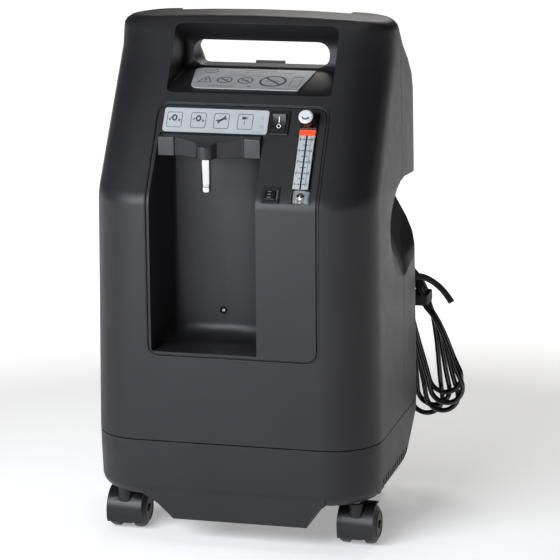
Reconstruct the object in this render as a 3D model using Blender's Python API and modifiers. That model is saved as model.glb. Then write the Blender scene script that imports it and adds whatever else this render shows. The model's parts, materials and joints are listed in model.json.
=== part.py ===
"""Bedside oxygen concentrator: cabinet, controls, casters, power cord and the machine inside.

Metres, +Z up, front towards -Y, X to the viewer's right, origin on the floor under the middle of the cabinet.
"""

import math

import bmesh
import bpy
from mathutils import Euler, Matrix, Vector

# ---- driving dimensions ----------------------------------------------------------------------------------
WIDTH = 0.342
DEPTH = 0.304
BASE_SEAM_Z = 0.127
TOP_Z = 0.6055
CROWN = 0.005
TOP_ROUNDING = 0.014
WALL = 0.003
GAP = 0.0004
SHELL_SEAM_Y = 0.030
CORNER_RADIUS = 0.060
SIDE_DRAFT = 0.0141
DRAFT_DATUM_Z = 0.110
CREASE_Z = 0.4125
CREASE_BLEND = 0.008
LEAN = math.radians(31.95)
REAR_CREASE_Z = 0.529
REAR_BLEND = 0.020
REAR_RUN = 1.376

PANEL_LEFT, PANEL_RIGHT = -0.0935, 0.1065
PANEL_BOTTOM, PANEL_TOP = 0.2306, 0.5135
PANEL_GAP = 0.0009

NOOK_LEFT, NOOK_RIGHT = -0.0895, 0.0345
NOOK_FLOOR, NOOK_CEILING = 0.2345, 0.4835

POCKET_LEFT, POCKET_RIGHT = -0.0885, 0.1075
POCKET_LIP_Y, POCKET_LIP_Z = -0.081, 0.526
POCKET_RISE = math.radians(12.6)
SLOT_LEFT, SLOT_RIGHT = -0.079, 0.086
SLOT_LOW, SLOT_HIGH = 0.5465, 0.5768

METER_X, METER_LOW, METER_HIGH = 0.0865, 0.4150, 0.4905
METER_WIDTH = 0.0202
VALVE_TOP = 0.5080
SWITCH_X, SWITCH_Z = 0.0515, 0.4965
BREAKER_X, BREAKER_Z = 0.0525, 0.4220

OUTLET_X, OUTLET_Y = -0.0275, -0.1300
HOOD_LOW = 0.4585

WHEEL_RADIUS = 0.0235
CASTER_TRAIL = 0.018
CASTERS = {
    "front_left": (-0.1405, -0.106),
    "front_right": (0.1415, -0.106),
    "rear_left": (-0.105, 0.080),
    "rear_right": (0.105, 0.080),
}

CORD_DIAMETER = 0.0065
HANK_FRONT_Y, HANK_BACK_Y = 0.1585, 0.1915
CORD_ROUTE = [
    (0.0750, 0.1895, 0.1500),
    (0.0765, 0.2050, 0.1460),
    (0.0840, 0.2150, 0.1320),
    (0.0970, 0.2120, 0.1190),
    (0.1120, 0.2020, 0.1160),
    (0.1245, 0.1905, 0.1270),
    (0.1320, 0.1815, 0.1480),
    (0.1355, 0.1770, 0.1750),
    (0.1367, 0.1752, 0.2050),
    (0.1370, 0.1750, 0.2300),
    (0.1370, 0.1750, 0.2485),
]

# ---- scene -----------------------------------------------------------------------------------------------
for stale in list(bpy.data.objects):
    bpy.data.objects.remove(stale, do_unlink=True)

PARTS = bpy.data.collections.new("oxygen_concentrator")
CUTTERS = bpy.data.collections.new("cutters")
for collection in (PARTS, CUTTERS):
    bpy.context.scene.collection.children.link(collection)


def material(name, colour, roughness, metallic=0.0, alpha=1.0):
    look = bpy.data.materials.new(name)
    look.use_nodes = True
    shader = look.node_tree.nodes["Principled BSDF"]
    shader.inputs["Base Color"].default_value = (*colour, 1.0)
    shader.inputs["Roughness"].default_value = roughness
    shader.inputs["Metallic"].default_value = metallic
    shader.inputs["Alpha"].default_value = alpha
    return look


CHARCOAL = (0.028, 0.028, 0.031)
BLACK = (0.012, 0.012, 0.013)
LIGHT_GREY = (0.58, 0.60, 0.62)
STEEL = (0.62, 0.62, 0.64)
ALUMINIUM = (0.70, 0.71, 0.72)
RUBBER = (0.02, 0.02, 0.02)
CLEAR = (0.85, 0.88, 0.88)
WHITE = (0.82, 0.83, 0.84)


# ---- shape helpers ---------------------------------------------------------------------------------------
def finish_mesh(bm, name):
    bmesh.ops.recalc_face_normals(bm, faces=bm.faces)
    mesh = bpy.data.meshes.new(name)
    bm.to_mesh(mesh)
    bm.free()
    return mesh


def place(name, mesh, colour, roughness=0.5, metallic=0.0, smooth=True, alpha=1.0):
    """A visible sub-part with a material of its own."""
    mesh.materials.clear()
    mesh.materials.append(material(name, colour, roughness, metallic, alpha))
    if smooth:
        mesh.shade_smooth()
        mesh.set_sharp_from_angle(angle=math.radians(32))
    body = bpy.data.objects.new(name, mesh)
    PARTS.objects.link(body)
    return body


def cutter(name, mesh):
    tool = bpy.data.objects.new(name, mesh)
    tool.hide_render = True
    tool.display_type = "WIRE"
    CUTTERS.objects.link(tool)
    return tool


def boolean(target, tool, operation="DIFFERENCE"):
    modifier = target.modifiers.new(f"{operation.lower()} {tool.name}", "BOOLEAN")
    modifier.operation = operation
    modifier.object = tool
    return target


def bevel(target, width, segments=2, angle=30):
    modifier = target.modifiers.new("edges", "BEVEL")
    modifier.width = width
    modifier.segments = segments
    modifier.limit_method = "ANGLE"
    modifier.angle_limit = math.radians(angle)
    return target


def box(name, low, high):
    low, high = Vector(low), Vector(high)
    bm = bmesh.new()
    bmesh.ops.create_cube(bm, size=1.0)
    bmesh.ops.scale(bm, vec=high - low, verts=bm.verts)
    bmesh.ops.translate(bm, vec=(low + high) / 2, verts=bm.verts)
    return finish_mesh(bm, name)


def boxes(name, corners):
    """Several separate boxes in one mesh, for a cutter that makes a row of slots."""
    bm = bmesh.new()
    for low, high in corners:
        low, high = Vector(low), Vector(high)
        made = bmesh.ops.create_cube(bm, size=1.0)["verts"]
        bmesh.ops.scale(bm, vec=high - low, verts=made)
        bmesh.ops.translate(bm, vec=(low + high) / 2, verts=made)
    return finish_mesh(bm, name)


def cylinder(name, radius, low, high, segments=20, centre=(0.0, 0.0)):
    """A cylinder along Z from low to high."""
    bm = bmesh.new()
    bmesh.ops.create_cone(bm, cap_ends=True, segments=segments, radius1=radius, radius2=radius,
                          depth=high - low)
    bmesh.ops.translate(bm, vec=(centre[0], centre[1], (low + high) / 2), verts=bm.verts)
    return finish_mesh(bm, name)


def turn_mesh(mesh, axis):
    """Turns a mesh made along Z so that it lies along X or Y."""
    turns = {"X": Euler((0, math.pi / 2, 0)), "Y": Euler((-math.pi / 2, 0, 0))}
    mesh.transform(turns[axis].to_matrix().to_4x4())
    return mesh


def profile_mesh(name, profile):
    """An open chain of (radius, height) points on the XZ plane, outer side running from top to bottom."""
    bm = bmesh.new()
    chain = [bm.verts.new((radius, 0.0, height)) for radius, height in profile]
    for first, second in zip(chain, chain[1:]):
        bm.edges.new((first, second))
    mesh = bpy.data.meshes.new(name)
    bm.to_mesh(mesh)
    bm.free()
    return mesh


def spin(target, steps):
    modifier = target.modifiers.new("turned", "SCREW")
    modifier.steps = steps
    modifier.render_steps = steps
    modifier.use_merge_vertices = True
    modifier.merge_threshold = 0.00001
    return target


def curve_to_mesh(name, curve):
    holder = bpy.data.objects.new(name, curve)
    bpy.context.scene.collection.objects.link(holder)
    bpy.context.view_layer.update()
    graph = bpy.context.evaluated_depsgraph_get()
    mesh = bpy.data.meshes.new_from_object(holder.evaluated_get(graph))
    bpy.data.objects.remove(holder)
    bpy.data.curves.remove(curve)
    bm = bmesh.new()
    bm.from_mesh(mesh)
    bpy.data.meshes.remove(mesh)
    bmesh.ops.remove_doubles(bm, verts=bm.verts, dist=0.000002)
    return finish_mesh(bm, name)


ALONG = {
    "X": Matrix(((0, 0, 1, 0), (1, 0, 0, 0), (0, 1, 0, 0), (0, 0, 0, 1))),
    "Y": Matrix(((1, 0, 0, 0), (0, 0, -1, 0), (0, 1, 0, 0), (0, 0, 0, 1))),
    "Z": Matrix.Identity(4),
}


def prism(name, outline, low, high, axis, holes=()):
    """An outline extruded along an axis: (y, z) points along X, (x, z) along Y, or (x, y) along Z."""
    curve = bpy.data.curves.new(name, "CURVE")
    curve.dimensions = "2D"
    curve.fill_mode = "BOTH"
    curve.extrude = (high - low) / 2
    for ring in (outline, *holes):
        spline = curve.splines.new("POLY")
        spline.points.add(len(ring) - 1)
        for point, (u, v) in zip(spline.points, ring):
            point.co = (u, v, 0.0, 1.0)
        spline.use_cyclic_u = True
    mesh = curve_to_mesh(name, curve)
    middle = (low + high) / 2
    mesh.transform(ALONG[axis] @ Matrix.Translation((0, 0, -middle if axis == "Y" else middle)))
    return mesh


def arc(centre, radius, start, end, steps):
    """Points on an arc, angles in degrees."""
    angles = (math.radians(start + (end - start) * step / steps) for step in range(steps + 1))
    return [(centre[0] + radius * math.cos(a), centre[1] + radius * math.sin(a)) for a in angles]


def rounded_rectangle(left, right, low, high, radius, steps=4):
    points = []
    points += arc((right - radius, high - radius), radius, 0, 90, steps)
    points += arc((left + radius, high - radius), radius, 90, 180, steps)
    points += arc((left + radius, low + radius), radius, 180, 270, steps)
    points += arc((right - radius, low + radius), radius, 270, 360, steps)
    return points


def loft(name, rings, paired_top=False):
    """Joins rings of equally many points. paired_top closes the last ring with strips across it."""
    bm = bmesh.new()
    loops = [[bm.verts.new(point) for point in ring] for ring in rings]
    count = len(rings[0])
    for lower, upper in zip(loops, loops[1:]):
        for i in range(count):
            j = (i + 1) % count
            bm.faces.new((lower[i], lower[j], upper[j], upper[i]))
    bm.faces.new(loops[0])
    top = loops[-1]
    if paired_top:
        for i in range(count // 2 - 1):
            bm.faces.new((top[i], top[i + 1], top[count - 2 - i], top[count - 1 - i]))
    else:
        bm.faces.new(top)
    return finish_mesh(bm, name)


def tube(name, points, radius, colour, roughness=0.5, metallic=0.0, resolution=2):
    """A round wire, hose or cord through the points, with closed ends."""
    curve = bpy.data.curves.new(name, "CURVE")
    curve.dimensions = "3D"
    curve.bevel_depth = radius
    curve.bevel_resolution = resolution
    curve.use_fill_caps = True
    spline = curve.splines.new("POLY")
    spline.points.add(len(points) - 1)
    for point, position in zip(spline.points, points):
        point.co = (*position, 1.0)
    curve.materials.append(material(name, colour, roughness, metallic))
    piece = bpy.data.objects.new(name, curve)
    PARTS.objects.link(piece)
    return piece


def smooth_route(points, step, leaves=None, enters=None):
    """Evenly spaced points on a Catmull-Rom curve, which can leave and enter along given directions."""
    route = [Vector(point) for point in points]
    first, last = route[1] - route[0], route[-1] - route[-2]
    before = route[1] - Vector(leaves) * 2 * first.length if leaves else route[0] - first
    after = route[-2] + Vector(enters) * 2 * last.length if enters else route[-1] + last
    padded = [before, *route, after]
    fine = []
    for a, b, c, d in zip(padded, padded[1:], padded[2:], padded[3:]):
        for k in range(16):
            t = k / 16
            bend = (2 * a - 5 * b + 4 * c - d) * t**2 + (3 * b - a - 3 * c + d) * t**3
            fine.append((2 * b + (c - a) * t + bend) / 2)
    fine.append(route[-1])
    length = sum((q - p).length for p, q in zip(fine, fine[1:]))
    pieces = max(2, round(length / step))
    even, walked, target = [fine[0]], 0.0, length / pieces
    for p, q in zip(fine, fine[1:]):
        stretch = (q - p).length
        while walked + stretch >= target - 1e-9 and len(even) < pieces:
            even.append(p.lerp(q, (target - walked) / stretch))
            target += length / pieces
        walked += stretch
    even.append(fine[-1])
    return even


# ---- cabinet form ----------------------------------------------------------------------------------------
def half_width(z):
    return WIDTH / 2 - SIDE_DRAFT * (z - DRAFT_DATUM_Z)


def eased(z, knee, blend, slope):
    """0 below the knee and slope * (z - knee) above it, joined by a parabola."""
    if z <= knee - blend:
        return 0.0
    if z >= knee + blend:
        return slope * (z - knee)
    return slope * (z - knee + blend) ** 2 / (4 * blend)


def front_y(z):
    return -DEPTH / 2 + eased(z, CREASE_Z, CREASE_BLEND, math.tan(LEAN))


def rear_y(z):
    return DEPTH / 2 - eased(z, REAR_CREASE_Z, REAR_BLEND, REAR_RUN)


def section(z, half, front, rear, radius, crown=0.0, steps=6, spans=4):
    """A rounded rectangle whose front and rear points come in pairs with the same x."""
    points = []
    long_edge = [half - radius - 2 * (half - radius) * k / spans for k in range(1, spans)]
    points += arc((half - radius, rear - radius), radius, 0, 90, steps)
    points += [(x, rear) for x in long_edge]
    points += arc((radius - half, rear - radius), radius, 90, 180, steps)
    points += arc((radius - half, front + radius), radius, 180, 270, steps)
    points += [(-x, front) for x in long_edge]
    points += arc((half - radius, front + radius), radius, 270, 360, steps)
    return [(x, y, z + crown * (1 - (x / half) ** 2)) for x, y in points]


def cabinet_section(z, inset=0.0, trim=0.0, crown=0.0):
    """The cabinet's outline at a height: inset moves every side in, trim rounds the top edge."""
    half = half_width(z) - inset - trim
    front = front_y(z) + 1.18 * inset + 0.5 * trim
    rear = rear_y(z) - 1.3 * inset - 0.25 * trim
    radius = min(CORNER_RADIUS - inset, 0.46 * (rear - front))
    return section(z, half, front, rear, radius, crown)


def cabinet_form(name, bottom, inset=0.0):
    knees = [CREASE_Z + CREASE_BLEND * k for k in (-1, 0, 1)]
    knees += [REAR_CREASE_Z + REAR_BLEND * k for k in (-1, 0, 1)]
    top = TOP_Z - inset
    rings = [cabinet_section(z, inset) for z in (bottom, 0.26, *knees)]
    rings.append(cabinet_section(0.570, inset, 0.0, CROWN / 3))
    for turn in (0, 22.5, 45, 67.5, 90):
        a = math.radians(turn)
        z = top - TOP_ROUNDING * (1 - math.sin(a))
        rings.append(cabinet_section(z, inset, TOP_ROUNDING * (1 - math.cos(a)), CROWN))
    return loft(name, rings, paired_top=True)


def pocket_floor(y):
    return POCKET_LIP_Z + math.tan(POCKET_RISE) * (y - POCKET_LIP_Y)


def pocket_form(name, grow=0.0):
    """The hand pocket in the sloping front, below the carrying bar."""
    outline = [
        (-0.130, pocket_floor(-0.130) - grow),
        (0.002 + grow, pocket_floor(0.002) - grow),
        (0.002 + grow, 0.5785 + grow),
        (-0.130, 0.6565 + grow),
    ]
    return bevel(cutter(name, prism(name, outline, POCKET_LEFT - grow, POCKET_RIGHT + grow, "X")), 0.009, 3)


def rear_chute_form(name, grow=0.0, start=-0.02):
    """The open space behind the carrying bar, its floor falling towards the rear."""
    def floor(y):
        return 0.540 - 0.25 * (y - SHELL_SEAM_Y) - grow

    outline = [(start, floor(start)), (0.190, floor(0.190)), (0.190, 0.75), (start, 0.75)]
    return cutter(name, prism(name, outline, -0.105 - grow, 0.105 + grow, "X"))


SCOOP_PIVOT = (0.110, 0.386)


def scoop_form(name, side, grow=0.0):
    """The side hand grip: a half oval that runs out through the rear corner, deepest under its upper lip."""
    turns = [math.radians(t) for t in range(90, 271, 15)]
    outline = [(0.045 + 0.085 * math.cos(t), 0.356 + 0.058 * math.sin(t), math.cos(t), math.sin(t))
               for t in turns]
    outline = [(0.200, 0.404, 0.0, 1.0), *outline, (0.200, 0.344, 0.0, -1.0)]
    rings = []
    for depth, scale_y, scale_z in ((-0.012, 1.43, 1.34), (-0.001, 1.036, 1.03), (0.005, 0.82, 0.86),
                                    (0.0355, 0.60, 0.20)):
        x = side * (0.1665 - depth - grow)
        rings.append([
            (x, SCOOP_PIVOT[0] + (y - SCOOP_PIVOT[0]) * scale_y + out_y * grow,
             SCOOP_PIVOT[1] + (z - SCOOP_PIVOT[1]) * scale_z + out_z * grow)
            for y, z, out_y, out_z in outline
        ])
    return cutter(name, loft(name, rings))


def nook_form(name, grow=0.0):
    """The humidifier recess: open at the front, with a concave back and a filleted floor."""
    def ring(z, tuck):
        left, right = NOOK_LEFT - grow, NOOK_RIGHT + grow
        middle, back = (left + right) / 2, -0.0655 + grow - tuck
        half = (right - left) / 2 - 0.0065 - 0.3 * tuck
        bow = [(middle - half * math.cos(math.radians(t)), back - 0.0165 * (1 - math.sin(math.radians(t))))
               for t in range(0, 181, 20)]
        sides = [(left - 0.002, -0.200), (left, -0.112)]
        ends = [(right, -0.112), (right + 0.002, -0.200)]
        return [(x, y, z) for x, y in (*sides, *bow, *ends)]

    floor = NOOK_FLOOR - grow
    levels = [(0.0, 0.016), (0.0035, 0.0075), (0.009, 0.0025), (0.017, 0.0)]
    rings = [ring(floor + rise, tuck) for rise, tuck in levels]
    rings.append(ring(NOOK_CEILING + grow, 0.0))
    return cutter(name, loft(name, rings))


# The leaning control face: local X across, local Y up the slope, local Z out of it.
FACE_TILT = math.pi / 2 - LEAN


def on_face(piece, x, z):
    """Stands a piece on the leaning face, with its own origin at that place."""
    piece.location = (x, -DEPTH / 2 + math.tan(LEAN) * (z - CREASE_Z), z)
    piece.rotation_euler = (FACE_TILT, 0, 0)
    return piece


def up_face(rise):
    """A length along the leaning face from a difference in height."""
    return rise / math.cos(LEAN)


# ---- front shell, rear shell and base --------------------------------------------------------------------
outer_form = cabinet_form("cabinet outside", BASE_SEAM_Z + 0.0006)
cavity = cutter("cabinet inside", cabinet_form("cabinet inside", BASE_SEAM_Z - 0.010, WALL))
pocket = pocket_form("pocket")
slot = cutter("slot", prism("slot", rounded_rectangle(SLOT_LEFT, SLOT_RIGHT, SLOT_LOW, SLOT_HIGH, 0.0135, 5),
                            -0.020, 0.045, "Y"))
bar_core = cutter("bar core", box("bar core", (POCKET_LEFT - 0.005, -0.046, 0.5450),
                                  (POCKET_RIGHT + 0.005, 0.050, 0.640)))
chute = rear_chute_form("chute")
scoops = [scoop_form(f"scoop {side}", side) for side in (-1, 1)]
for solid_around in (scoop_form("left scoop wall", -1, WALL), scoop_form("right scoop wall", 1, WALL),
                     pocket_form("pocket wall", WALL),
                     rear_chute_form("chute wall", WALL, SHELL_SEAM_Y - WALL), bar_core):
    boolean(cavity, solid_around)

front_shell = place("front_shell", outer_form, CHARCOAL, 0.42)
boolean(front_shell, cavity)
boolean(front_shell, cutter("rear half", box("rear half", (-0.3, SHELL_SEAM_Y - GAP, 0.0), (0.3, 0.4, 0.8))))
for tool in (pocket, slot, *scoops):
    boolean(front_shell, tool)
aperture = rounded_rectangle(PANEL_LEFT - PANEL_GAP, PANEL_RIGHT + PANEL_GAP, PANEL_BOTTOM - PANEL_GAP,
                             PANEL_TOP + PANEL_GAP, 0.0125)
boolean(front_shell, cutter("panel aperture", prism("panel aperture", aperture, -0.220, -0.075, "Y")))

rear_shell = place("rear_shell", outer_form.copy(), CHARCOAL, 0.42)
boolean(rear_shell, cavity)
boolean(rear_shell, cutter("front half", box("front half", (-0.3, -0.4, 0.0),
                                             (0.3, SHELL_SEAM_Y + GAP, 0.8))))
for tool in (chute, *scoops):
    boolean(rear_shell, tool)
FILTER_X, FILTER_LOW, FILTER_HIGH = 0.058, 0.392, 0.494
boolean(rear_shell, cutter("filter opening", box("filter opening",
                                                 (-FILTER_X - GAP, 0.135, FILTER_LOW - GAP),
                                                 (FILTER_X + GAP, 0.170, FILTER_HIGH + GAP))))
RELIEF_X, RELIEF_Z = 0.075, 0.150
inlet_hole = cutter("cord inlet", turn_mesh(cylinder("cord inlet", 0.0082, 0.130, 0.170), "Y"))
inlet_hole.location = (RELIEF_X, 0.0, RELIEF_Z)
boolean(rear_shell, inlet_hole)

BASE_TOP = BASE_SEAM_Z - 0.0006
BASE_LEVELS = [  # height, half width, front, rear
    (BASE_TOP, 0.1706, -0.1520, 0.1520),
    (0.1125, 0.1704, -0.1518, 0.1515),
    (0.1040, 0.1702, -0.1517, 0.1440),
    (0.0720, 0.1694, -0.1508, 0.1060),
    (0.0670, 0.1680, -0.1495, 0.1000),
    (0.0610, 0.1645, -0.1460, 0.0960),
    (0.0580, 0.1580, -0.1400, 0.0900),
]


def base_form(name, inset=0.0, rise=0.0):
    rings = []
    for z, half, front, rear in reversed(BASE_LEVELS):
        radius = min(CORNER_RADIUS, half - 0.105) - inset
        height = z + rise if z < BASE_TOP else z + 6 * rise
        rings.append(section(height, half - inset, front + inset, rear - 1.3 * inset, radius))
    return loft(name, rings)


TUB_LEFT, TUB_RIGHT, TUB_LOW = -0.0680, 0.0925, 0.0325
tub_outline = [(TUB_LEFT, TUB_LOW), (TUB_RIGHT, TUB_LOW), (TUB_RIGHT + 0.006, 0.0450),
               (TUB_RIGHT + 0.012, 0.0530),
               (TUB_RIGHT + 0.022, 0.0600), (TUB_RIGHT + 0.022, 0.0720), (TUB_LEFT - 0.036, 0.0720),
               (TUB_LEFT - 0.036, 0.0600), (TUB_LEFT - 0.019, 0.0500)]
tub = cutter("tub", prism("tub", tub_outline, -0.1492, 0.025, "Y"))
base_pan = place("base_pan", base_form("base_pan"), CHARCOAL, 0.45)
boolean(base_pan, tub, "UNION")
base_inside = cutter("base inside", base_form("base inside", WALL, WALL))
boolean(base_pan, base_inside)
tub_inside = box("tub inside", (TUB_LEFT + WALL, -0.1492 + WALL, TUB_LOW + WALL),
                 (TUB_RIGHT - WALL, 0.025 - WALL, 0.0800))
boolean(base_pan, cutter("tub inside", tub_inside))
RIB_STEP, RIB_COUNT = 0.0125, 12
ribs = []
for rib in range(RIB_COUNT):
    y = -0.085 + RIB_STEP * rib
    for side in (-1, 1):
        inner, outer = sorted((side * 0.1670, side * 0.1800))
        ribs.append(((inner, y, 0.0500), (outer, y + 0.0055, 0.0790)))
boolean(base_pan, cutter("side ribs", boxes("side ribs", ribs)))
for corner, (x, y) in CASTERS.items():
    boolean(base_pan, cutter(f"{corner} socket",
                             cylinder(f"{corner} socket", 0.0058, 0.040, 0.075, 12, (x, y))))

EXHAUST_ANGLE = math.atan2(0.0320, 0.0380)
EXHAUST_AT = (0.0, 0.1255, 0.0884)
exhaust_opening = cutter("exhaust opening", box("exhaust opening", (-0.0704, -0.0174, -0.008),
                                                (0.0704, 0.0174, 0.010)))
exhaust_opening.location = EXHAUST_AT
exhaust_opening.rotation_euler = (EXHAUST_ANGLE + math.pi, 0, 0)
boolean(base_pan, exhaust_opening)

exhaust_grille = place("exhaust_grille", box("exhaust_grille", (-0.070, -0.017, -0.0030),
                                             (0.070, 0.017, 0.0005)), BLACK)
exhaust_grille.location = EXHAUST_AT
exhaust_grille.rotation_euler = (EXHAUST_ANGLE + math.pi, 0, 0)
bars = [((-0.064 + 0.0125 * k, -0.0125, -0.02), (-0.0570 + 0.0125 * k, 0.0125, 0.02)) for k in range(11)]
exhaust_slots = cutter("exhaust slots", boxes("exhaust slots", bars))
exhaust_slots.location = EXHAUST_AT
exhaust_slots.rotation_euler = (EXHAUST_ANGLE + math.pi, 0, 0)
boolean(exhaust_grille, exhaust_slots)

# ---- control panel insert --------------------------------------------------------------------------------
nook = nook_form("nook")
panel_hollow = cutter("panel hollow", cabinet_form("panel hollow", BASE_SEAM_Z - 0.010, WALL))
boolean(panel_hollow, nook_form("nook wall", WALL))
panel_outline = rounded_rectangle(PANEL_LEFT + PANEL_GAP, PANEL_RIGHT - PANEL_GAP, PANEL_BOTTOM + PANEL_GAP,
                                  PANEL_TOP - PANEL_GAP, 0.0110)
control_panel = place("control_panel", prism("control_panel", panel_outline, -0.220, -0.0618, "Y"), CHARCOAL,
                      0.40)
boolean(control_panel, cutter("cabinet skin", cabinet_form("cabinet skin", BASE_SEAM_Z - 0.020)),
        "INTERSECT")
boolean(control_panel, panel_hollow)
boolean(control_panel, nook)


def face_cutter(name, x, z, half_x, half_y, centre_y=0.0):
    tool = cutter(name, box(name, (-half_x, centre_y - half_y, -0.022), (half_x, centre_y + half_y, 0.020)))
    return on_face(tool, x, z)


METER_MIDDLE = (METER_LOW + METER_HIGH) / 2
METER_HALF = up_face(METER_HIGH - METER_LOW) / 2
VALVE_MIDDLE = (METER_HIGH + VALVE_TOP) / 2
VALVE_HALF = up_face(VALVE_TOP - METER_HIGH) / 2 - GAP / 2
channel_middle = (METER_LOW + VALVE_TOP) / 2
boolean(control_panel, face_cutter("meter channel", METER_X, channel_middle, METER_WIDTH / 2 + 0.0006,
                                   up_face(VALVE_TOP - METER_LOW) / 2 + 0.0006))
boolean(control_panel, face_cutter("switch hole", SWITCH_X, SWITCH_Z, 0.0103, 0.0131))
boolean(control_panel, face_cutter("breaker hole", BREAKER_X, BREAKER_Z, 0.0086, 0.0084))
SCREW_X, SCREW_Z = -0.0275, 0.2660
screw_hole = cutter("screw hole", turn_mesh(cylinder("screw hole", 0.0050, -0.080, -0.050, 16), "Y"))
screw_hole.location = (SCREW_X, 0.0, SCREW_Z)
boolean(control_panel, screw_hole)

SCREW_HEAD = [(0.0, -0.0006), (0.0018, -0.0006), (0.0030, 0.0011), (0.0036, 0.0015), (0.0045, 0.0007),
              (0.0045, -0.0020),
              (0.0022, -0.0024), (0.0022, -0.0090), (0.0, -0.0096)]
recess_screw = spin(place("recess_screw", profile_mesh("recess_screw", SCREW_HEAD), STEEL, 0.35, 0.9), 16)
recess_screw.rotation_euler = (math.pi / 2, 0, 0)
recess_screw.location = (SCREW_X, -0.0655, SCREW_Z)

# ---- outlet hood and outlet ------------------------------------------------------------------------------
HOOD_HALF = (NOOK_RIGHT - NOOK_LEFT) / 2 - 0.0012
NOSE_RADIUS = 0.0100
hood_right = [(HOOD_HALF - 0.0040, -0.0980), (HOOD_HALF, -0.1120), (HOOD_HALF, -0.1190),
              (HOOD_HALF - 0.0190, -0.1190), (HOOD_HALF - 0.0205, -0.1165),
              (0.0125, -0.1290)]
nose = arc((0.0, OUTLET_Y - 0.0025), NOSE_RADIUS, -10, -170, 8)
hood_outline = [*hood_right, *nose, *((-x, y) for x, y in reversed(hood_right))]
hood_outline = [(x + OUTLET_X, y) for x, y in hood_outline]
outlet_hood = place("outlet_hood", prism("outlet_hood", hood_outline, HOOD_LOW, NOOK_CEILING - GAP, "Z"),
                    BLACK, 0.32)
HOOD_TOP_FALL = math.atan2(0.010, 0.0345)
hood_top = cutter("hood top", box("hood top", (-0.2, -0.1, 0.0), (0.2, 0.1, 0.05)))
hood_top.location = (OUTLET_X, -0.1085, NOOK_CEILING - GAP)
hood_top.rotation_euler = (HOOD_TOP_FALL, 0, 0)
boolean(outlet_hood, hood_top)
bevel(outlet_hood, 0.0007, 1, 40)

OUTLET_PROFILE = [(0.0, -0.0003), (0.0058, -0.0003), (0.0058, -0.0295), (0.0053, -0.0302), (0.0053, -0.0318),
                  (0.0058, -0.0325), (0.0058, -0.0370), (0.0050, -0.0383), (0.0034, -0.0383),
                  (0.0034, -0.0060),
                  (0.0, -0.0060)]
oxygen_outlet = spin(place("oxygen_outlet", profile_mesh("oxygen_outlet", OUTLET_PROFILE), STEEL, 0.15, 1.0),
                     20)
oxygen_outlet.location = (OUTLET_X, OUTLET_Y, HOOD_LOW)

# ---- indicator panel, switch, breaker, flow meter --------------------------------------------------------
indicator_outline = rounded_rectangle(-0.0621, 0.0621, -0.0148, 0.0148, 0.0030, 3)
indicator_panel = place("indicator_panel", prism("indicator_panel", indicator_outline, GAP, 0.0016, "Z"),
                        LIGHT_GREY)
on_face(indicator_panel, -0.0238, 0.4965)

power_switch_bezel = place("power_switch_bezel",
                           box("power_switch_bezel", (-0.0116, -0.0147, GAP), (0.0116, 0.0147, 0.0024)),
                           BLACK, 0.35)
on_face(power_switch_bezel, SWITCH_X, SWITCH_Z)
bevel(power_switch_bezel, 0.0008, 1)
boolean(power_switch_bezel, on_face(cutter("switch body", box("switch body", (-0.0100, -0.0128, -0.0120),
                                                              (0.0100, 0.0128, 0.0015))), SWITCH_X,
                                                              SWITCH_Z), "UNION")
boolean(power_switch_bezel, face_cutter("rocker opening", SWITCH_X, SWITCH_Z, 0.0082, 0.0113))

ROCKER_TILT = math.radians(8)
rocker_profile = [(-0.0103, -0.0060), (0.0103, -0.0060), (0.0103, 0.0046), (0.0, 0.0026), (-0.0103, 0.0046)]
power_switch_rocker = place("power_switch_rocker",
                            prism("power_switch_rocker", rocker_profile, -0.0078, 0.0078, "X"),
                            BLACK, 0.30)
on_face(power_switch_rocker, SWITCH_X, SWITCH_Z)
power_switch_rocker.rotation_euler = (FACE_TILT + ROCKER_TILT, 0, 0)

breaker_bezel = place("breaker_bezel", box("breaker_bezel", (-0.0100, -0.0098, GAP),
                                           (0.0100, 0.0098, 0.0018)), BLACK, 0.4)
on_face(breaker_bezel, BREAKER_X, BREAKER_Z)
boolean(breaker_bezel, on_face(cutter("breaker body", box("breaker body", (-0.0082, -0.0080, -0.0150),
                                                          (0.0082, 0.0080, 0.0010))),
                               BREAKER_X, BREAKER_Z), "UNION")
boolean(breaker_bezel, on_face(cutter("button opening", box("button opening", (-0.0064, -0.0064, -0.0115),
                                                            (0.0064, 0.0064, 0.02))),
                               BREAKER_X, BREAKER_Z))
breaker_button = place("breaker_button", box("breaker_button", (-0.0060, -0.0060, -0.0080),
                                             (0.0060, 0.0060, 0.0036)), BLACK, 0.3)
on_face(breaker_button, BREAKER_X, BREAKER_Z)
bevel(breaker_button, 0.0006, 1)

BORE_Z = -0.0025
METER_FLOOR = -METER_HALF + 0.0160
flow_meter_body = place("flow_meter_body", box("flow_meter_body", (-METER_WIDTH / 2, -METER_HALF, -0.0120),
                                               (METER_WIDTH / 2, METER_HALF, 0.0040)), CLEAR, 0.05,
                                               alpha=0.35)
on_face(flow_meter_body, METER_X, METER_MIDDLE)
bevel(flow_meter_body, 0.0008, 1)
bore = cutter("meter bore", turn_mesh(cylinder("meter bore", 0.0042, METER_FLOOR, METER_HALF + 0.01, 16),
                                      "Y"))
bore.data.transform(Matrix.Translation((0, 0, BORE_Z)))
boolean(flow_meter_body, on_face(bore, METER_X, METER_MIDDLE))

bm = bmesh.new()
bmesh.ops.create_uvsphere(bm, u_segments=12, v_segments=8, radius=0.0036)
flow_meter_float = place("flow_meter_float", finish_mesh(bm, "flow_meter_float"), BLACK, 0.2)
on_face(flow_meter_float, METER_X, METER_MIDDLE)
FLOAT_OFFSET = Vector((0, METER_FLOOR + 0.0038, BORE_Z))
flow_meter_float.location += Euler((FACE_TILT, 0, 0)).to_matrix() @ FLOAT_OFFSET

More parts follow.
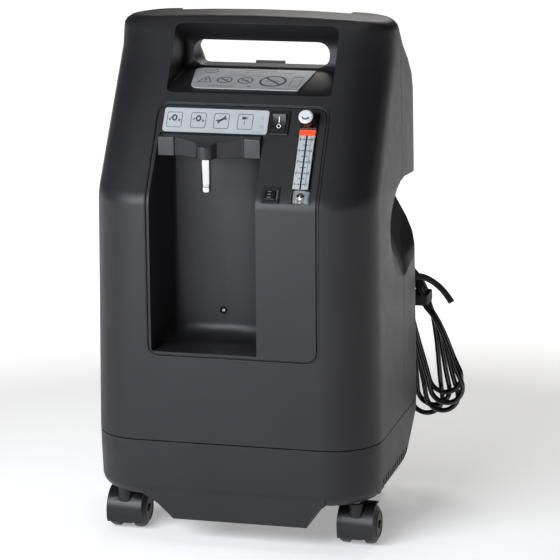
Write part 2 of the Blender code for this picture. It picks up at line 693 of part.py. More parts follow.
flow_valve_body = place("flow_valve_body", box("flow_valve_body", (-METER_WIDTH / 2, -VALVE_HALF, -0.0120),
                                               (METER_WIDTH / 2, VALVE_HALF, 0.0035)), BLACK, 0.3)
on_face(flow_valve_body, METER_X, VALVE_MIDDLE)
bevel(flow_valve_body, 0.0008, 1)
KNOB_PROFILE = [(0.0, 0.0205), (0.0068, 0.0205), (0.0083, 0.0193), (0.0087, 0.0092), (0.0079, 0.0084),
                (0.0048, 0.0084),
                (0.0048, 0.0040), (0.0, 0.0040)]
flow_control_knob = spin(place("flow_control_knob", profile_mesh("flow_control_knob", KNOB_PROFILE), WHITE,
                               0.3), 24)
on_face(flow_control_knob, METER_X - 0.0006, VALVE_MIDDLE - 0.0012)

# ---- instruction label on the pocket floor ---------------------------------------------------------------
label_outline = [
    *arc((-0.0645, -0.0080), 0.0080, 180, 90, 3),
    (0.0715, 0.0000),
    (0.0700, -0.0200),
    (0.0650, -0.0640),
    *arc((-0.0530, -0.0520), 0.0120, 270, 195, 3),
]
instruction_label = place("instruction_label", prism("instruction_label", label_outline, GAP, 0.0013, "Z"),
                          LIGHT_GREY, 0.6)
instruction_label.location = (0.0, -0.0060, pocket_floor(-0.0060))
instruction_label.rotation_euler = (POCKET_RISE, 0, 0)

# ---- air filter on the rear ------------------------------------------------------------------------------
rear_filter_cover = place("rear_filter_cover", box("rear_filter_cover", (-FILTER_X, 0.1480, FILTER_LOW),
                                                   (FILTER_X, 0.1530, FILTER_HIGH)), CHARCOAL, 0.45)
louvres = [((-0.050, 0.14, FILTER_LOW + 0.0085 + 0.0125 * k),
            (0.050, 0.16, FILTER_LOW + 0.0145 + 0.0125 * k))
           for k in range(7)]
boolean(rear_filter_cover, cutter("louvres", boxes("louvres", louvres)))
cabinet_air_filter = place("cabinet_air_filter",
                           box("cabinet_air_filter", (-0.053, 0.1340, 0.4000), (0.053, 0.1465, 0.4870)),
                           (0.03, 0.03, 0.03), 0.95)

# ---- casters ---------------------------------------------------------------------------------------------
WHEEL_HALF = [(0.0, 0.0235), (0.0110, 0.0240), (0.0170, 0.0232), (0.0220, 0.0205), (WHEEL_RADIUS, 0.0170),
              (WHEEL_RADIUS, 0.0105), (0.0220, 0.0092), (0.0, 0.0092)]


def wheel_pair(name):
    """Two wheels on one axle along X."""
    right = turn_mesh(cylinder(name, 0.0026, -0.0150, 0.0150, 12), "X")
    pair = place(name, right, BLACK, 0.5)
    for side in (-1, 1):
        disc = spin(cutter(f"{name} disc {side}", profile_mesh(f"{name} disc {side}", WHEEL_HALF)), 20)
        disc.rotation_euler = (0, side * math.pi / 2, 0)
        disc.parent = pair
        boolean(pair, disc, "UNION")
    return pair


def caster_hood(name):
    """A curved fender over the wheels with the web that carries the axle and the boss round the stem."""
    outer_radius, inner_radius = 0.0272, 0.0247
    fender = arc((0, 0), outer_radius, 70, 208, 12) + arc((0, 0), inner_radius, 208, 70, 12)
    hood = place(name, prism(name, fender, -0.0215, 0.0215, "X"), BLACK, 0.45)
    web = arc((0, 0), inner_radius + 0.0008, 66, 215, 10) + [(0.004, -0.010), (0.010, -0.004)]
    web_tool = cutter(f"{name} web", prism(f"{name} web", web, -0.0075, 0.0075, "X"))
    boss = cutter(f"{name} boss", cylinder(f"{name} boss", 0.0085, 0.0140, 0.0300, 16, (0.0, -CASTER_TRAIL)))
    axle_hole = cutter(f"{name} axle hole", turn_mesh(cylinder(f"{name} axle hole", 0.0030, -0.03, 0.03, 12),
                                                      "X"))
    stem_hole = cutter(f"{name} stem hole", cylinder(f"{name} stem hole", 0.0050, 0.0190, 0.0400, 12,
                                                     (0.0, -CASTER_TRAIL)))
    for tool, operation in ((web_tool, "UNION"), (boss, "UNION"), (axle_hole, "DIFFERENCE"),
                            (stem_hole, "DIFFERENCE")):
        tool.parent = hood
        boolean(hood, tool, operation)
    return hood


STEM_PROFILE = [(0.0, 0.0780), (0.0040, 0.0780), (0.0050, 0.0765), (0.0050, 0.0546), (0.0047, 0.0546),
                (0.0047, 0.0435),
                (0.0, 0.0435)]
for corner, (x, y) in CASTERS.items():
    swivel = bpy.data.objects.new(f"caster_swivel_{corner}", None)
    swivel.location = (x, y, 0.0)
    PARTS.objects.link(swivel)
    stem = spin(place(f"caster_stem_{corner}", profile_mesh(f"caster_stem_{corner}", STEM_PROFILE), STEEL,
                      0.3, 1.0), 12)
    hood = caster_hood(f"caster_hood_{corner}")
    wheels = wheel_pair(f"caster_wheels_{corner}")
    for piece in (hood, wheels):
        piece.location = (0.0, CASTER_TRAIL, WHEEL_RADIUS)
    for piece in (stem, hood, wheels):
        piece.parent = swivel

# ---- power cord ------------------------------------------------------------------------------------------
RELIEF_PROFILE = [(0.0, 0.0370), (0.0042, 0.0370), (0.0050, 0.0340), (0.0070, 0.0060), (0.0098, 0.0045),
                  (0.0098, 0.0004),
                  (0.0078, 0.0004), (0.0078, -0.0060), (0.0, -0.0060)]
strain_relief = spin(place("strain_relief", profile_mesh("strain_relief", RELIEF_PROFILE), RUBBER, 0.5), 16)
strain_relief.rotation_euler = (-math.pi / 2, 0, 0)
strain_relief.location = (RELIEF_X, DEPTH / 2, RELIEF_Z)

cord_points = smooth_route(CORD_ROUTE, 2.0 * CORD_DIAMETER, (0, 1, 0), (0, 0, 1))
cord_points.insert(1, cord_points[0] + Vector((0, 0.004, 0)))
cord_points.insert(-1, cord_points[-1] - Vector((0, 0, 0.004)))
power_cord = tube("power_cord", cord_points, CORD_DIAMETER / 2, BLACK, 0.3)

HANK_OUTLINE = [
    *arc((0.1050, 0.2800), 0.0260, 45, 225, 9),
    (0.0960, 0.2530), (0.1120, 0.2530), (0.1260, 0.2490), (0.1420, 0.2490), (0.1434, 0.2470),
    (0.1434, 0.2270),
    (0.1405, 0.2100), (0.1400, 0.1500),
    *arc((0.1640, 0.1010), 0.0240, 190, 270, 4),
    *arc((0.1880, 0.1010), 0.0240, 285, 340, 3),
    (0.2150, 0.1300), (0.2145, 0.1600), (0.2020, 0.1950), (0.1850, 0.2180), (0.1710, 0.2290),
    (0.1710, 0.2480),
    (0.1560, 0.2640), (0.1400, 0.2820),
]
cord_hank = place("cord_hank", prism("cord_hank", HANK_OUTLINE, HANK_FRONT_Y, HANK_BACK_Y, "Y"), BLACK, 0.3)

PLUG_AT = (0.1040, 0.1710, 0.2527)
power_plug = place("power_plug", box("power_plug", (-0.0110, -0.0095, -0.0510), (0.0110, 0.0095, -0.0150)),
                   BLACK, 0.3)
bevel(power_plug, 0.0030, 2)
for side in (-1, 1):
    blade = cutter(f"plug blade {side}", box(f"plug blade {side}",
                                             (side * 0.0063 - 0.0008, -0.0031, -0.0680),
                                            (side * 0.0063 + 0.0008, 0.0031, -0.0450)))
    blade.parent = power_plug
    boolean(power_plug, blade, "UNION")
ground_pin = cutter("plug ground pin", cylinder("plug ground pin", 0.0024, -0.0710, -0.0450, 10,
                                                (0.0, 0.0055)))
plug_neck = cutter("plug neck", cylinder("plug neck", 0.0048, -0.0210, 0.0, 10))
for addition in (ground_pin, plug_neck):
    addition.parent = power_plug
    boolean(power_plug, addition, "UNION")
power_plug.location = PLUG_AT

STRAP_LOW, STRAP_HIGH = 0.2300, 0.2430
STRAP_FRONT_Y, STRAP_THICKNESS = 0.1550, 0.0018
strap_outer = rounded_rectangle(0.1410, 0.1736, STRAP_FRONT_Y, 0.1953, 0.0048, 3)
strap_inner = rounded_rectangle(0.1428, 0.1718, STRAP_FRONT_Y + STRAP_THICKNESS, 0.1935, 0.0030, 3)
cord_strap = place("cord_strap", prism("cord_strap", strap_outer, STRAP_LOW, STRAP_HIGH, "Z", [strap_inner]),
                   BLACK, 0.9)
TAIL = [(0.1500, 0.2350), (0.1440, 0.2460), (0.1435, 0.2560), (0.1500, 0.2640), (0.1620, 0.2670),
        (0.1740, 0.2640),
        (0.1860, 0.2555), (0.1960, 0.2450), (0.2030, 0.2360)]
TAIL_HALF = 0.0042
tail_sides = []
for before, after, (x, z) in zip([TAIL[0], *TAIL], [*TAIL[1:], TAIL[-1]], TAIL):
    along = Vector((after[0] - before[0], after[1] - before[1])).normalized()
    tail_sides.append(((x - TAIL_HALF * along.y, z + TAIL_HALF * along.x),
                       (x + TAIL_HALF * along.y, z - TAIL_HALF * along.x)))
tail_outline = [upper for upper, lower in tail_sides] + [lower for upper, lower in reversed(tail_sides)]
tail = cutter("strap tail", prism("strap tail", tail_outline, STRAP_FRONT_Y + 0.0001, STRAP_FRONT_Y + 0.0016,
                                  "Y"))
boolean(cord_strap, tail, "UNION")

# ---- machine inside --------------------------------------------------------------------------------------
SHELF_Z = 0.2100
mid_shelf = place("mid_shelf", box("mid_shelf", (-0.150, -0.128, SHELF_Z), (0.150, 0.128, SHELF_Z + 0.0025)),
                  ALUMINIUM, 0.4, 0.8)
FAN_X, FAN_Y = -0.085, 0.070
boolean(mid_shelf, cutter("fan port", cylinder("fan port", 0.0450, 0.20, 0.22, 24, (FAN_X, FAN_Y))))

fan_housing = place("fan_housing", box("fan_housing", (FAN_X - 0.050, FAN_Y - 0.050, SHELF_Z - 0.0283),
                                       (FAN_X + 0.050, FAN_Y + 0.050, SHELF_Z - 0.0003)), BLACK, 0.4)
boolean(fan_housing, cutter("fan bore", cylinder("fan bore", 0.0465, 0.17, 0.23, 24, (FAN_X, FAN_Y))))
fan_rotor = place("fan_rotor", cylinder("fan_rotor", 0.0180, -0.0110, 0.0110, 16), BLACK, 0.4)
fan_rotor.location = (FAN_X, FAN_Y, SHELF_Z - 0.0143)
for blade_index in range(5):
    blade = cutter(f"fan blade {blade_index}",
                   box(f"fan blade {blade_index}", (0.015, -0.011, -0.0008), (0.0445, 0.011, 0.0008)))
    blade.rotation_euler = (math.radians(32), 0, math.radians(72 * blade_index))
    blade.parent = fan_rotor
    boolean(fan_rotor, blade, "UNION")

compressor_tray = place("compressor_tray", box("compressor_tray", (-0.112, -0.100, 0.0740),
                                               (0.112, 0.072, 0.0765)), STEEL, 0.4, 0.8)
FOOT_PROFILE = [(0.0, 0.0737), (0.0090, 0.0737), (0.0090, 0.0700), (0.0070, 0.0680), (0.0090, 0.0655),
                (0.0090, 0.0613),
                (0.0, 0.0613)]
for name, x, y in (("rear_left", -0.098, 0.020), ("rear_right", 0.100, 0.030),
                   ("front_left", -0.100, -0.055),
                   ("front_right", 0.100, -0.050)):
    mount = spin(place(f"rubber_mount_{name}", profile_mesh(f"rubber_mount_{name}", FOOT_PROFILE), RUBBER,
                       0.8), 12)
    mount.location = (x, y, 0.0)

motor = turn_mesh(cylinder("compressor_motor", 0.0430, -0.0500, 0.0500, 24), "X")
compressor_motor = bevel(place("compressor_motor", motor, ALUMINIUM, 0.4, 0.7), 0.004, 2, 60)
compressor_motor.location = (0.0, -0.020, 0.1230)
for side, label in ((-1, "left"), (1, "right")):
    near, far = sorted((side * 0.0504, side * 0.0980))
    crankcase = place(f"crankcase_{label}", box(f"crankcase_{label}", (near, -0.060, 0.0768),
                                                (far, 0.020, 0.1500)), ALUMINIUM, 0.5, 0.6)
    bevel(crankcase, 0.005, 2)
    head = place(f"cylinder_head_{label}", box(f"cylinder_head_{label}", (near, -0.055, 0.1504),
                                               (far, 0.015, 0.1880)), ALUMINIUM, 0.45, 0.7)
    fins = [((near - 0.01, -0.07, 0.1570 + 0.0075 * k),
             (far - side * 0.0040 + (0.014 if side > 0 else 0.0), 0.03, 0.1605 + 0.0075 * k))
            for k in range(4)]
    grooves = [((near - 0.01, -0.07, low[2]), (near + 0.006, 0.03, high[2])) for low, high in fins]
    grooves += [((far - 0.006, -0.07, low[2]), (far + 0.01, 0.03, high[2])) for low, high in fins]
    boolean(head, cutter(f"{label} fins", boxes(f"{label} fins", grooves)))

for label, x in (("left", -0.0450), ("right", 0.0350)):
    bed_profile = [(0.0, 0.4620), (0.0250, 0.4620), (0.0360, 0.4560), (0.0360, 0.4480), (0.0340, 0.4470),
                   (0.0340, 0.2290),
                   (0.0360, 0.2280), (0.0360, 0.2128), (0.0, 0.2128)]
    bed = spin(place(f"sieve_bed_{label}", profile_mesh(f"sieve_bed_{label}", bed_profile), ALUMINIUM, 0.35,
                     0.9), 20)
    bed.location = (x, -0.0100, 0.0)
valve_manifold = place("valve_manifold", box("valve_manifold", (-0.0800, -0.0380, 0.4624),
                                             (0.0700, 0.0180, 0.4860)), ALUMINIUM, 0.45, 0.6)
bevel(valve_manifold, 0.003, 1)
tank_profile = [(0.0, 0.3450), (0.0200, 0.3430), (0.0290, 0.3330), (0.0290, 0.2230), (0.0200, 0.2130),
                (0.0, 0.2128)]
product_tank = spin(place("product_tank", profile_mesh("product_tank", tank_profile), WHITE, 0.5), 20)
product_tank.location = (0.1080, 0.0000, 0.0)
intake_profile = [(0.0, 0.3000), (0.0120, 0.3000), (0.0120, 0.2880), (0.0260, 0.2850), (0.0260, 0.2250),
                  (0.0240, 0.2128),
                  (0.0, 0.2128)]
intake_filter = spin(place("intake_filter", profile_mesh("intake_filter", intake_profile), BLACK, 0.5), 16)
intake_filter.location = (-0.1200, -0.0100, 0.0)
muffler = turn_mesh(cylinder("exhaust_muffler", 0.0170, 0.0350, 0.0950, 14), "Y")
exhaust_muffler = bevel(place("exhaust_muffler", muffler, RUBBER, 0.6), 0.003, 1)
exhaust_muffler.location = (0.1280, 0.0, 0.1600)
capacitor_profile = [(0.0, 0.0600), (0.0180, 0.0600), (0.0200, 0.0580), (0.0200, 0.0), (0.0, 0.0)]
run_capacitor = spin(place("run_capacitor", profile_mesh("run_capacitor", capacitor_profile), ALUMINIUM, 0.3,
                           0.9), 16)
run_capacitor.location = (0.1100, 0.0900, SHELF_Z + 0.0028)
circuit_board = place("circuit_board", box("circuit_board", (-0.060, 0.0900, 0.2600),
                                           (0.060, 0.0917, 0.3700)), (0.02, 0.16, 0.08), 0.5)

COIL_TURNS, COIL_STEPS = 3, 12
coil = []
for step in range(COIL_TURNS * COIL_STEPS + 1):
    turn = 2 * math.pi * step / COIL_STEPS
    coil.append((0.045 + 0.030 * math.cos(turn), 0.095 + 0.022 * math.sin(turn),
                 0.1300 + 0.012 * step / COIL_STEPS))
heat_exchanger_coil = tube("heat_exchanger_coil", coil, 0.0040, (0.72, 0.36, 0.18), 0.3, 1.0, 1)

hose_route = [(0.1080, 0.0, 0.3458), (0.1080, -0.002, 0.3800), (0.1040, -0.012, 0.4450),
              (0.0800, -0.046, 0.4900),
              (0.0300, -0.058, 0.5050), (-0.0150, -0.0720, 0.5000), (-0.0275, -0.0850, 0.4935)]
outlet_hose = tube("outlet_hose", smooth_route(hose_route, 0.014), 0.0035, (0.70, 0.72, 0.72), 0.3)
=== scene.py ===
"""Looks of a bedside oxygen concentrator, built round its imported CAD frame.

Metres, +Z up, front towards -Y, +X to the viewer's right. Every place comes from the frame or from the named
dimensions below, which repeat the CAD's own.
"""

import json
import math

import bmesh
import bpy
from mathutils import Matrix, Vector

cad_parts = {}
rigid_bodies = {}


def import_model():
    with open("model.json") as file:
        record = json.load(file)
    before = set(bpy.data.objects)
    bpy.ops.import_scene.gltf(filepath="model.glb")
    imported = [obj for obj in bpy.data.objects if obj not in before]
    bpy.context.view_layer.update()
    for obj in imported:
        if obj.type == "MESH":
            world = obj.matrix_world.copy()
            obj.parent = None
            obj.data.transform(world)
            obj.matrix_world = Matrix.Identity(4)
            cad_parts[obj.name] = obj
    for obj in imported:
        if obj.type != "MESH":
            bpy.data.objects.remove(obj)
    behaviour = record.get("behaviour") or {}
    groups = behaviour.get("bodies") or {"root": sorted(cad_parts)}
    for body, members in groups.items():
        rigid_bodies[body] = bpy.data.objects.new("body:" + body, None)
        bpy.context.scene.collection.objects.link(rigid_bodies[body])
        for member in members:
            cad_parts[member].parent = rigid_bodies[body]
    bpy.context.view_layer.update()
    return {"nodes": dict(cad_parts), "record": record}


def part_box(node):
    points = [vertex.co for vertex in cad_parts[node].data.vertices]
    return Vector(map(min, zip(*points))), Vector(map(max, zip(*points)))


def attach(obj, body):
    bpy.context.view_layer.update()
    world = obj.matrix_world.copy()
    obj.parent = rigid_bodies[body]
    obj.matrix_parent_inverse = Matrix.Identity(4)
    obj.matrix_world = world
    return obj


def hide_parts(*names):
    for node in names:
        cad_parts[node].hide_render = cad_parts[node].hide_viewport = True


for stale in list(bpy.data.objects):
    bpy.data.objects.remove(stale, do_unlink=True)

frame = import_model()

# ---- dimensions shared with the CAD
FRONT_Y = -0.152
CREASE_Z = 0.4125
CREASE_BLEND = 0.008
LEAN = math.radians(31.95)
INDICATOR_AT = (-0.0238, 0.4965)
SWITCH_AT = (0.0515, 0.4965)
BREAKER_AT = (0.0525, 0.4220)
METER_AT = (0.0865, 0.45275)
KNOB_AT = (0.0859, 0.49805)
ROCKER_TILT = math.radians(8)
APERTURE = (-0.0944, 0.1074, 0.2297, 0.5144, 0.0125)
PANEL_GAP = 0.0018
LABEL_AT = (0.0, -0.0060, 0.54276)
LABEL_RISE = math.radians(12.6)
SCREW_AT = (-0.0275, -0.0655, 0.2660)
RELIEF_AT = (0.0750, 0.1520, 0.1500)
WHEEL_RADIUS = 0.0235
CASTER_TRAIL = 0.018
CASTERS = {
    "front_left": (-0.1405, -0.106),
    "front_right": (0.1415, -0.106),
    "rear_left": (-0.105, 0.080),
    "rear_right": (0.105, 0.080),
}

# ---- camera
VIEW_YAW = math.radians(14.66)
VIEW_PITCH = math.radians(12.85)
VIEW_ROLL = math.radians(-0.478)
VIEW_DISTANCE = 3.13
VIEW_LENS = 168.5
VIEW_TARGET = Vector((0.0243, 0.0, 0.2903))


def make_camera():
    back = Vector((math.sin(VIEW_YAW) * math.cos(VIEW_PITCH), -math.cos(VIEW_YAW) * math.cos(VIEW_PITCH),
                   math.sin(VIEW_PITCH)))
    right = (-back).cross(Vector((0, 0, 1))).normalized()
    up = right.cross(-back)
    across = right * math.cos(VIEW_ROLL) + up * math.sin(VIEW_ROLL)
    upright = up * math.cos(VIEW_ROLL) - right * math.sin(VIEW_ROLL)
    data = bpy.data.cameras.new("camera")
    data.lens = VIEW_LENS
    data.sensor_width = 36
    camera = bpy.data.objects.new("camera", data)
    camera.matrix_world = Matrix((
        (across.x, upright.x, back.x, 0),
        (across.y, upright.y, back.y, 0),
        (across.z, upright.z, back.z, 0),
        (0, 0, 0, 1),
    ))
    camera.location = VIEW_TARGET + back * VIEW_DISTANCE
    bpy.context.scene.collection.objects.link(camera)
    bpy.context.scene.camera = camera


make_camera()

# ---- power cord
CORD_DIAMETER = 0.0065
CORD_STEP = 0.0040
CORD_ROUTE = [
    (0.0750, 0.1895, 0.1500),
    (0.0751, 0.1950, 0.1497),
    (0.0757, 0.2022, 0.1476),
    (0.0775, 0.2088, 0.1428),
    (0.0808, 0.2136, 0.1358),
    (0.0858, 0.2154, 0.1275),
    (0.0925, 0.2138, 0.1198),
    (0.1007, 0.2096, 0.1142),
    (0.1097, 0.2035, 0.1120),
    (0.1183, 0.1966, 0.1143),
    (0.1253, 0.1897, 0.1216),
    (0.1302, 0.1840, 0.1325),
    (0.1334, 0.1800, 0.1470),
    (0.1353, 0.1772, 0.1720),
    (0.1367, 0.1755, 0.2050),
    (0.1372, 0.1750, 0.2300),
    (0.1378, 0.1762, 0.2475),
    (0.1378, 0.1805, 0.2640),
    (0.1335, 0.1880, 0.2800),
]
LAYER = 0.0066
BACK_LAYER_Y = 0.1872
FOLD_RADIUS = 0.0218
FOLD_CENTRE = (0.1050, 0.2800)
LOOP_RADIUS = 0.0205
# Each hanging loop, back to front: the centre of its round bottom (x, z) and how far its sides bow outwards.
HANK_LOOPS = [
    (0.1655, 0.1040, 0.0030),
    (0.1760, 0.1170, 0.0045),
    (0.1880, 0.1120, 0.0060),
    (0.1930, 0.1380, 0.0042),
    (0.1960, 0.1260, 0.0052),
]
GATHER_LEFT, GATHER_RIGHT = (0.1475, 0.2300), (0.1680, 0.2300)
PLUG_NECK = (0.1040, 0.1710, 0.2527)


def arc(centre, radius, start, end, steps):
    """Points on an arc, angles in degrees."""
    angles = (math.radians(start + (end - start) * step / steps) for step in range(steps + 1))
    return [(centre[0] + radius * math.cos(a), centre[1] + radius * math.sin(a)) for a in angles]


def bowed(start, end, bow, steps, settled_end):
    """Points on a line that bows to its left.

    They keep the line's direction at its start or, if settled, at its end.
    """
    along = (end[0] - start[0], end[1] - start[1])
    reach = math.hypot(*along)
    side = (-along[1] / reach, along[0] / reach)
    points = []
    for step in range(1, steps):
        t = step / steps
        lift = bow * 6.75 * t * (1 - t) * (1 - t if settled_end else t)
        points.append((start[0] + along[0] * t + side[0] * lift, start[1] + along[1] * t + side[1] * lift))
    return points


def hanging_loop(centre, bow):
    """Down from the strap, round the bottom and back up, in the plane of its layer."""
    ends = []
    for gather, side in ((GATHER_LEFT, -1), (GATHER_RIGHT, 1)):
        away = (gather[0] - centre[0], gather[1] - centre[1])
        bearing = math.degrees(math.atan2(away[1], away[0]))
        ends.append(bearing - side * math.degrees(math.acos(LOOP_RADIUS / math.hypot(*away))))
    bottom = arc(centre, LOOP_RADIUS, ends[0], ends[1] + 360, 12)
    down = bowed(GATHER_LEFT, bottom[0], -0.3 * bow, 6, True)
    rise = bowed(bottom[-1], GATHER_RIGHT, -bow, 6, False)
    return [GATHER_LEFT, *down, *bottom, *rise, GATHER_RIGHT]


def hank_route():
    """The folded cord, layer by layer: over the top, down the left, round the bottom, up the right."""
    route = []
    for turn, (bottom_x, bottom_z, bow) in enumerate(HANK_LOOPS):
        y = BACK_LAYER_Y - LAYER * turn
        fold = arc(FOLD_CENTRE, FOLD_RADIUS, 44, 255, 9)
        fold += [(0.1170, 0.2565), (0.1310, 0.2530), (0.1415, 0.2450)]
        for step, (x, z) in enumerate(fold):
            route.append((x, y + LAYER * (1 - (step + 1) / len(fold)), z))
        back_up = [(0.1636, 0.2450), (0.1530, 0.2620), (0.1370, 0.2790)]
        route += [(x, y, z) for x, z in (*hanging_loop((bottom_x, bottom_z), bow), *back_up)]
    last_y = BACK_LAYER_Y - LAYER * (len(HANK_LOOPS) - 1)
    over = arc((PLUG_NECK[0] + FOLD_RADIUS, FOLD_CENTRE[1] + 0.001), FOLD_RADIUS, 12, 180, 9)
    for step, (x, z) in enumerate(over):
        route.append((x, last_y + (PLUG_NECK[1] - last_y) * (step + 1) / len(over), z))
    route[-len(over) - 1] = (0.1490, last_y, 0.2735)
    return [*route, (PLUG_NECK[0], PLUG_NECK[1], 0.2680), PLUG_NECK]


def evenly(points, step):
    """Evenly spaced points on a Catmull-Rom curve through the given ones."""
    route = [Vector(point) for point in points]
    padded = [2 * route[0] - route[1], *route, 2 * route[-1] - route[-2]]
    fine = []
    for a, b, c, d in zip(padded, padded[1:], padded[2:], padded[3:]):
        for k in range(12):
            t = k / 12
            square, cube = t * t, t * t * t
            curved = (2 * a - 5 * b + 4 * c - d) * square + (3 * b - a - 3 * c + d) * cube
            fine.append((2 * b + (c - a) * t + curved) / 2)
    fine.append(route[-1])
    length = sum((q - p).length for p, q in zip(fine, fine[1:]))
    pieces = max(2, round(length / step))
    even, walked, target = [fine[0]], 0.0, length / pieces
    for p, q in zip(fine, fine[1:]):
        stretch = (q - p).length
        while walked + stretch >= target - 1e-9 and len(even) < pieces:
            even.append(p.lerp(q, (target - walked) / stretch))
            target += length / pieces
        walked += stretch
    return [*even, fine[-1]], length


def line_piece(name, points, radius, closed=False, resolution=3):
    """A round line through the points, as a mesh."""
    curve = bpy.data.curves.new(name, "CURVE")
    curve.dimensions = "3D"
    curve.bevel_depth = radius
    curve.bevel_resolution = resolution
    curve.use_fill_caps = True
    spline = curve.splines.new("POLY")
    spline.points.add(len(points) - 1)
    for point, position in zip(spline.points, points):
        point.co = (*position, 1.0)
    spline.use_cyclic_u = closed
    spline.use_smooth = True
    guide = bpy.data.objects.new(name + "_guide", curve)
    bpy.context.scene.collection.objects.link(guide)
    graph = bpy.context.evaluated_depsgraph_get()
    mesh = bpy.data.meshes.new_from_object(guide.evaluated_get(graph))
    bpy.data.objects.remove(guide, do_unlink=True)
    mesh.name = name
    piece = bpy.data.objects.new(name, mesh)
    bpy.context.scene.collection.objects.link(piece)
    return piece


cord_line, CORD_LENGTH = evenly([*CORD_ROUTE, *hank_route()], CORD_STEP)
cord = line_piece("cord_run", cord_line, CORD_DIAMETER / 2, resolution=4)
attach(cord, "cabinet")
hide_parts("power_cord", "cord_hank")


# ---- materials
class Look:
    """A Principled material under construction, its textures in the object's own metres."""

    def __init__(self, name, roughness=0.5, metallic=0.0):
        self.material = bpy.data.materials.new(name)
        self.material.use_nodes = True
        self.tree = self.material.node_tree
        self.shader = self.tree.nodes["Principled BSDF"]
        self.shader.inputs["Roughness"].default_value = roughness
        self.shader.inputs["Metallic"].default_value = metallic
        self.place = self.tree.nodes.new("ShaderNodeTexCoord").outputs["Object"]
        self.normal = None

    def node(self, kind, **settings):
        made = self.tree.nodes.new(kind)
        for key, value in settings.items():
            setattr(made, key, value)
        return made

    def link(self, source, target):
        self.tree.links.new(source, target)
        return self

    def noise(self, scale, detail=3.0, stretch=None):
        texture = self.node("ShaderNodeTexNoise")
        texture.inputs["Scale"].default_value = scale
        texture.inputs["Detail"].default_value = detail
        self.link(self.stretched(stretch), texture.inputs["Vector"])
        return texture.outputs["Fac"]

    def stretched(self, stretch):
        if stretch is None:
            return self.place
        mapping = self.node("ShaderNodeMapping")
        mapping.inputs["Scale"].default_value = stretch
        self.link(self.place, mapping.inputs["Vector"])
        return mapping.outputs["Vector"]

    def waves(self, scale, direction, stretch=None):
        texture = self.node("ShaderNodeTexWave", bands_direction=direction)
        texture.inputs["Scale"].default_value = scale
        self.link(self.stretched(stretch), texture.inputs["Vector"])
        return texture.outputs["Fac"]

    def ramp(self, value, low, high, start=0.35, end=0.65):
        """A value stretched between two levels."""
        spread = self.node("ShaderNodeMapRange")
        for key, level in (("From Min", start), ("From Max", end), ("To Min", low), ("To Max", high)):
            spread.inputs[key].default_value = level
        self.link(value, spread.inputs["Value"])
        return spread.outputs["Result"]

    def mixed(self, factor, first, second):
        """A colour between two, which are RGB triples or sockets."""
        mix = self.node("ShaderNodeMix", data_type="RGBA")
        self.link(factor, mix.inputs["Factor"])
        for socket, colour in ((mix.inputs["A"], first), (mix.inputs["B"], second)):
            if hasattr(colour, "links"):
                self.link(colour, socket)
            else:
                socket.default_value = (*colour, 1.0)
        return mix.outputs["Result"]

    def colour(self, source):
        return self.link(source, self.shader.inputs["Base Color"])

    def roughness(self, source):
        return self.link(source, self.shader.inputs["Roughness"])

    def bump(self, height, distance, strength=1.0):
        made = self.node("ShaderNodeBump")
        made.inputs["Strength"].default_value = strength
        made.inputs["Distance"].default_value = distance
        self.link(height, made.inputs["Height"])
        if self.normal is not None:
            self.link(self.normal, made.inputs["Normal"])
        self.normal = made.outputs["Normal"]
        return self.link(self.normal, self.shader.inputs["Normal"])

    def soft_edges(self, radius):
        """Rounds sharp edges in the shading and returns how near an edge a place is, from 0 to 1."""
        rounded = self.node("ShaderNodeBevel", samples=4)
        rounded.inputs["Radius"].default_value = radius
        self.normal = rounded.outputs["Normal"]
        self.link(self.normal, self.shader.inputs["Normal"])
        true_normal = self.node("ShaderNodeNewGeometry").outputs["Normal"]
        dot = self.node("ShaderNodeVectorMath", operation="DOT_PRODUCT")
        self.link(self.normal, dot.inputs[0]).link(true_normal, dot.inputs[1])
        return self.ramp(dot.outputs["Value"], 1.0, 0.0, 0.80, 0.995)

    def set(self, **values):
        for key, value in values.items():
            self.shader.inputs[key.replace("_", " ")].default_value = value
        return self


def moulded(name, dark, light, roughness, grain=0.00006, grain_scale=1500.0, worn=0.25, edge=0.0008):
    """Spark-textured moulding with faint blotches, a polished wear at its edges and softened corners."""
    look = Look(name)
    near_edge = look.soft_edges(edge)
    blotch = look.noise(9.0, 4.0)
    body = look.mixed(look.ramp(blotch, 0.0, 1.0), dark, light)
    rubbed = tuple(channel * 2.2 + 0.008 for channel in light)
    wear = look.node("ShaderNodeMath", operation="MULTIPLY")
    look.link(near_edge, wear.inputs[0])
    look.link(look.ramp(look.noise(60.0, 5.0), 0.0, worn, 0.40, 0.62), wear.inputs[1])
    look.colour(look.mixed(wear.outputs["Value"], body, rubbed))
    look.roughness(look.ramp(look.noise(55.0, 2.0), roughness - 0.015, roughness + 0.020))
    look.bump(look.noise(grain_scale, 2.0), grain)
    look.set(Specular_IOR_Level=0.35)
    return look.material


def brushed(name, colour, roughness, stretch, scale=400.0, depth=0.00002):
    """Metal with fine drawn lines along one direction."""
    look = Look(name, roughness, 1.0)
    lines = look.noise(scale, 3.0, stretch)
    look.colour(look.mixed(look.ramp(look.noise(25.0), 0.0, 1.0), tuple(c * 0.86 for c in colour), colour))
    look.roughness(look.ramp(lines, roughness - 0.06, roughness + 0.10))
    look.bump(lines, depth)
    return look.material


def cast(name, colour, roughness):
    """As-cast metal: a coarse skin with dull patches."""
    look = Look(name, roughness, 1.0)
    look.soft_edges(0.0010)
    look.colour(look.mixed(look.ramp(look.noise(45.0), 0.0, 1.0), tuple(c * 0.72 for c in colour), colour))
    look.roughness(look.ramp(look.noise(220.0), roughness - 0.08, roughness + 0.12))
    look.bump(look.noise(700.0, 4.0), 0.00025)
    return look.material


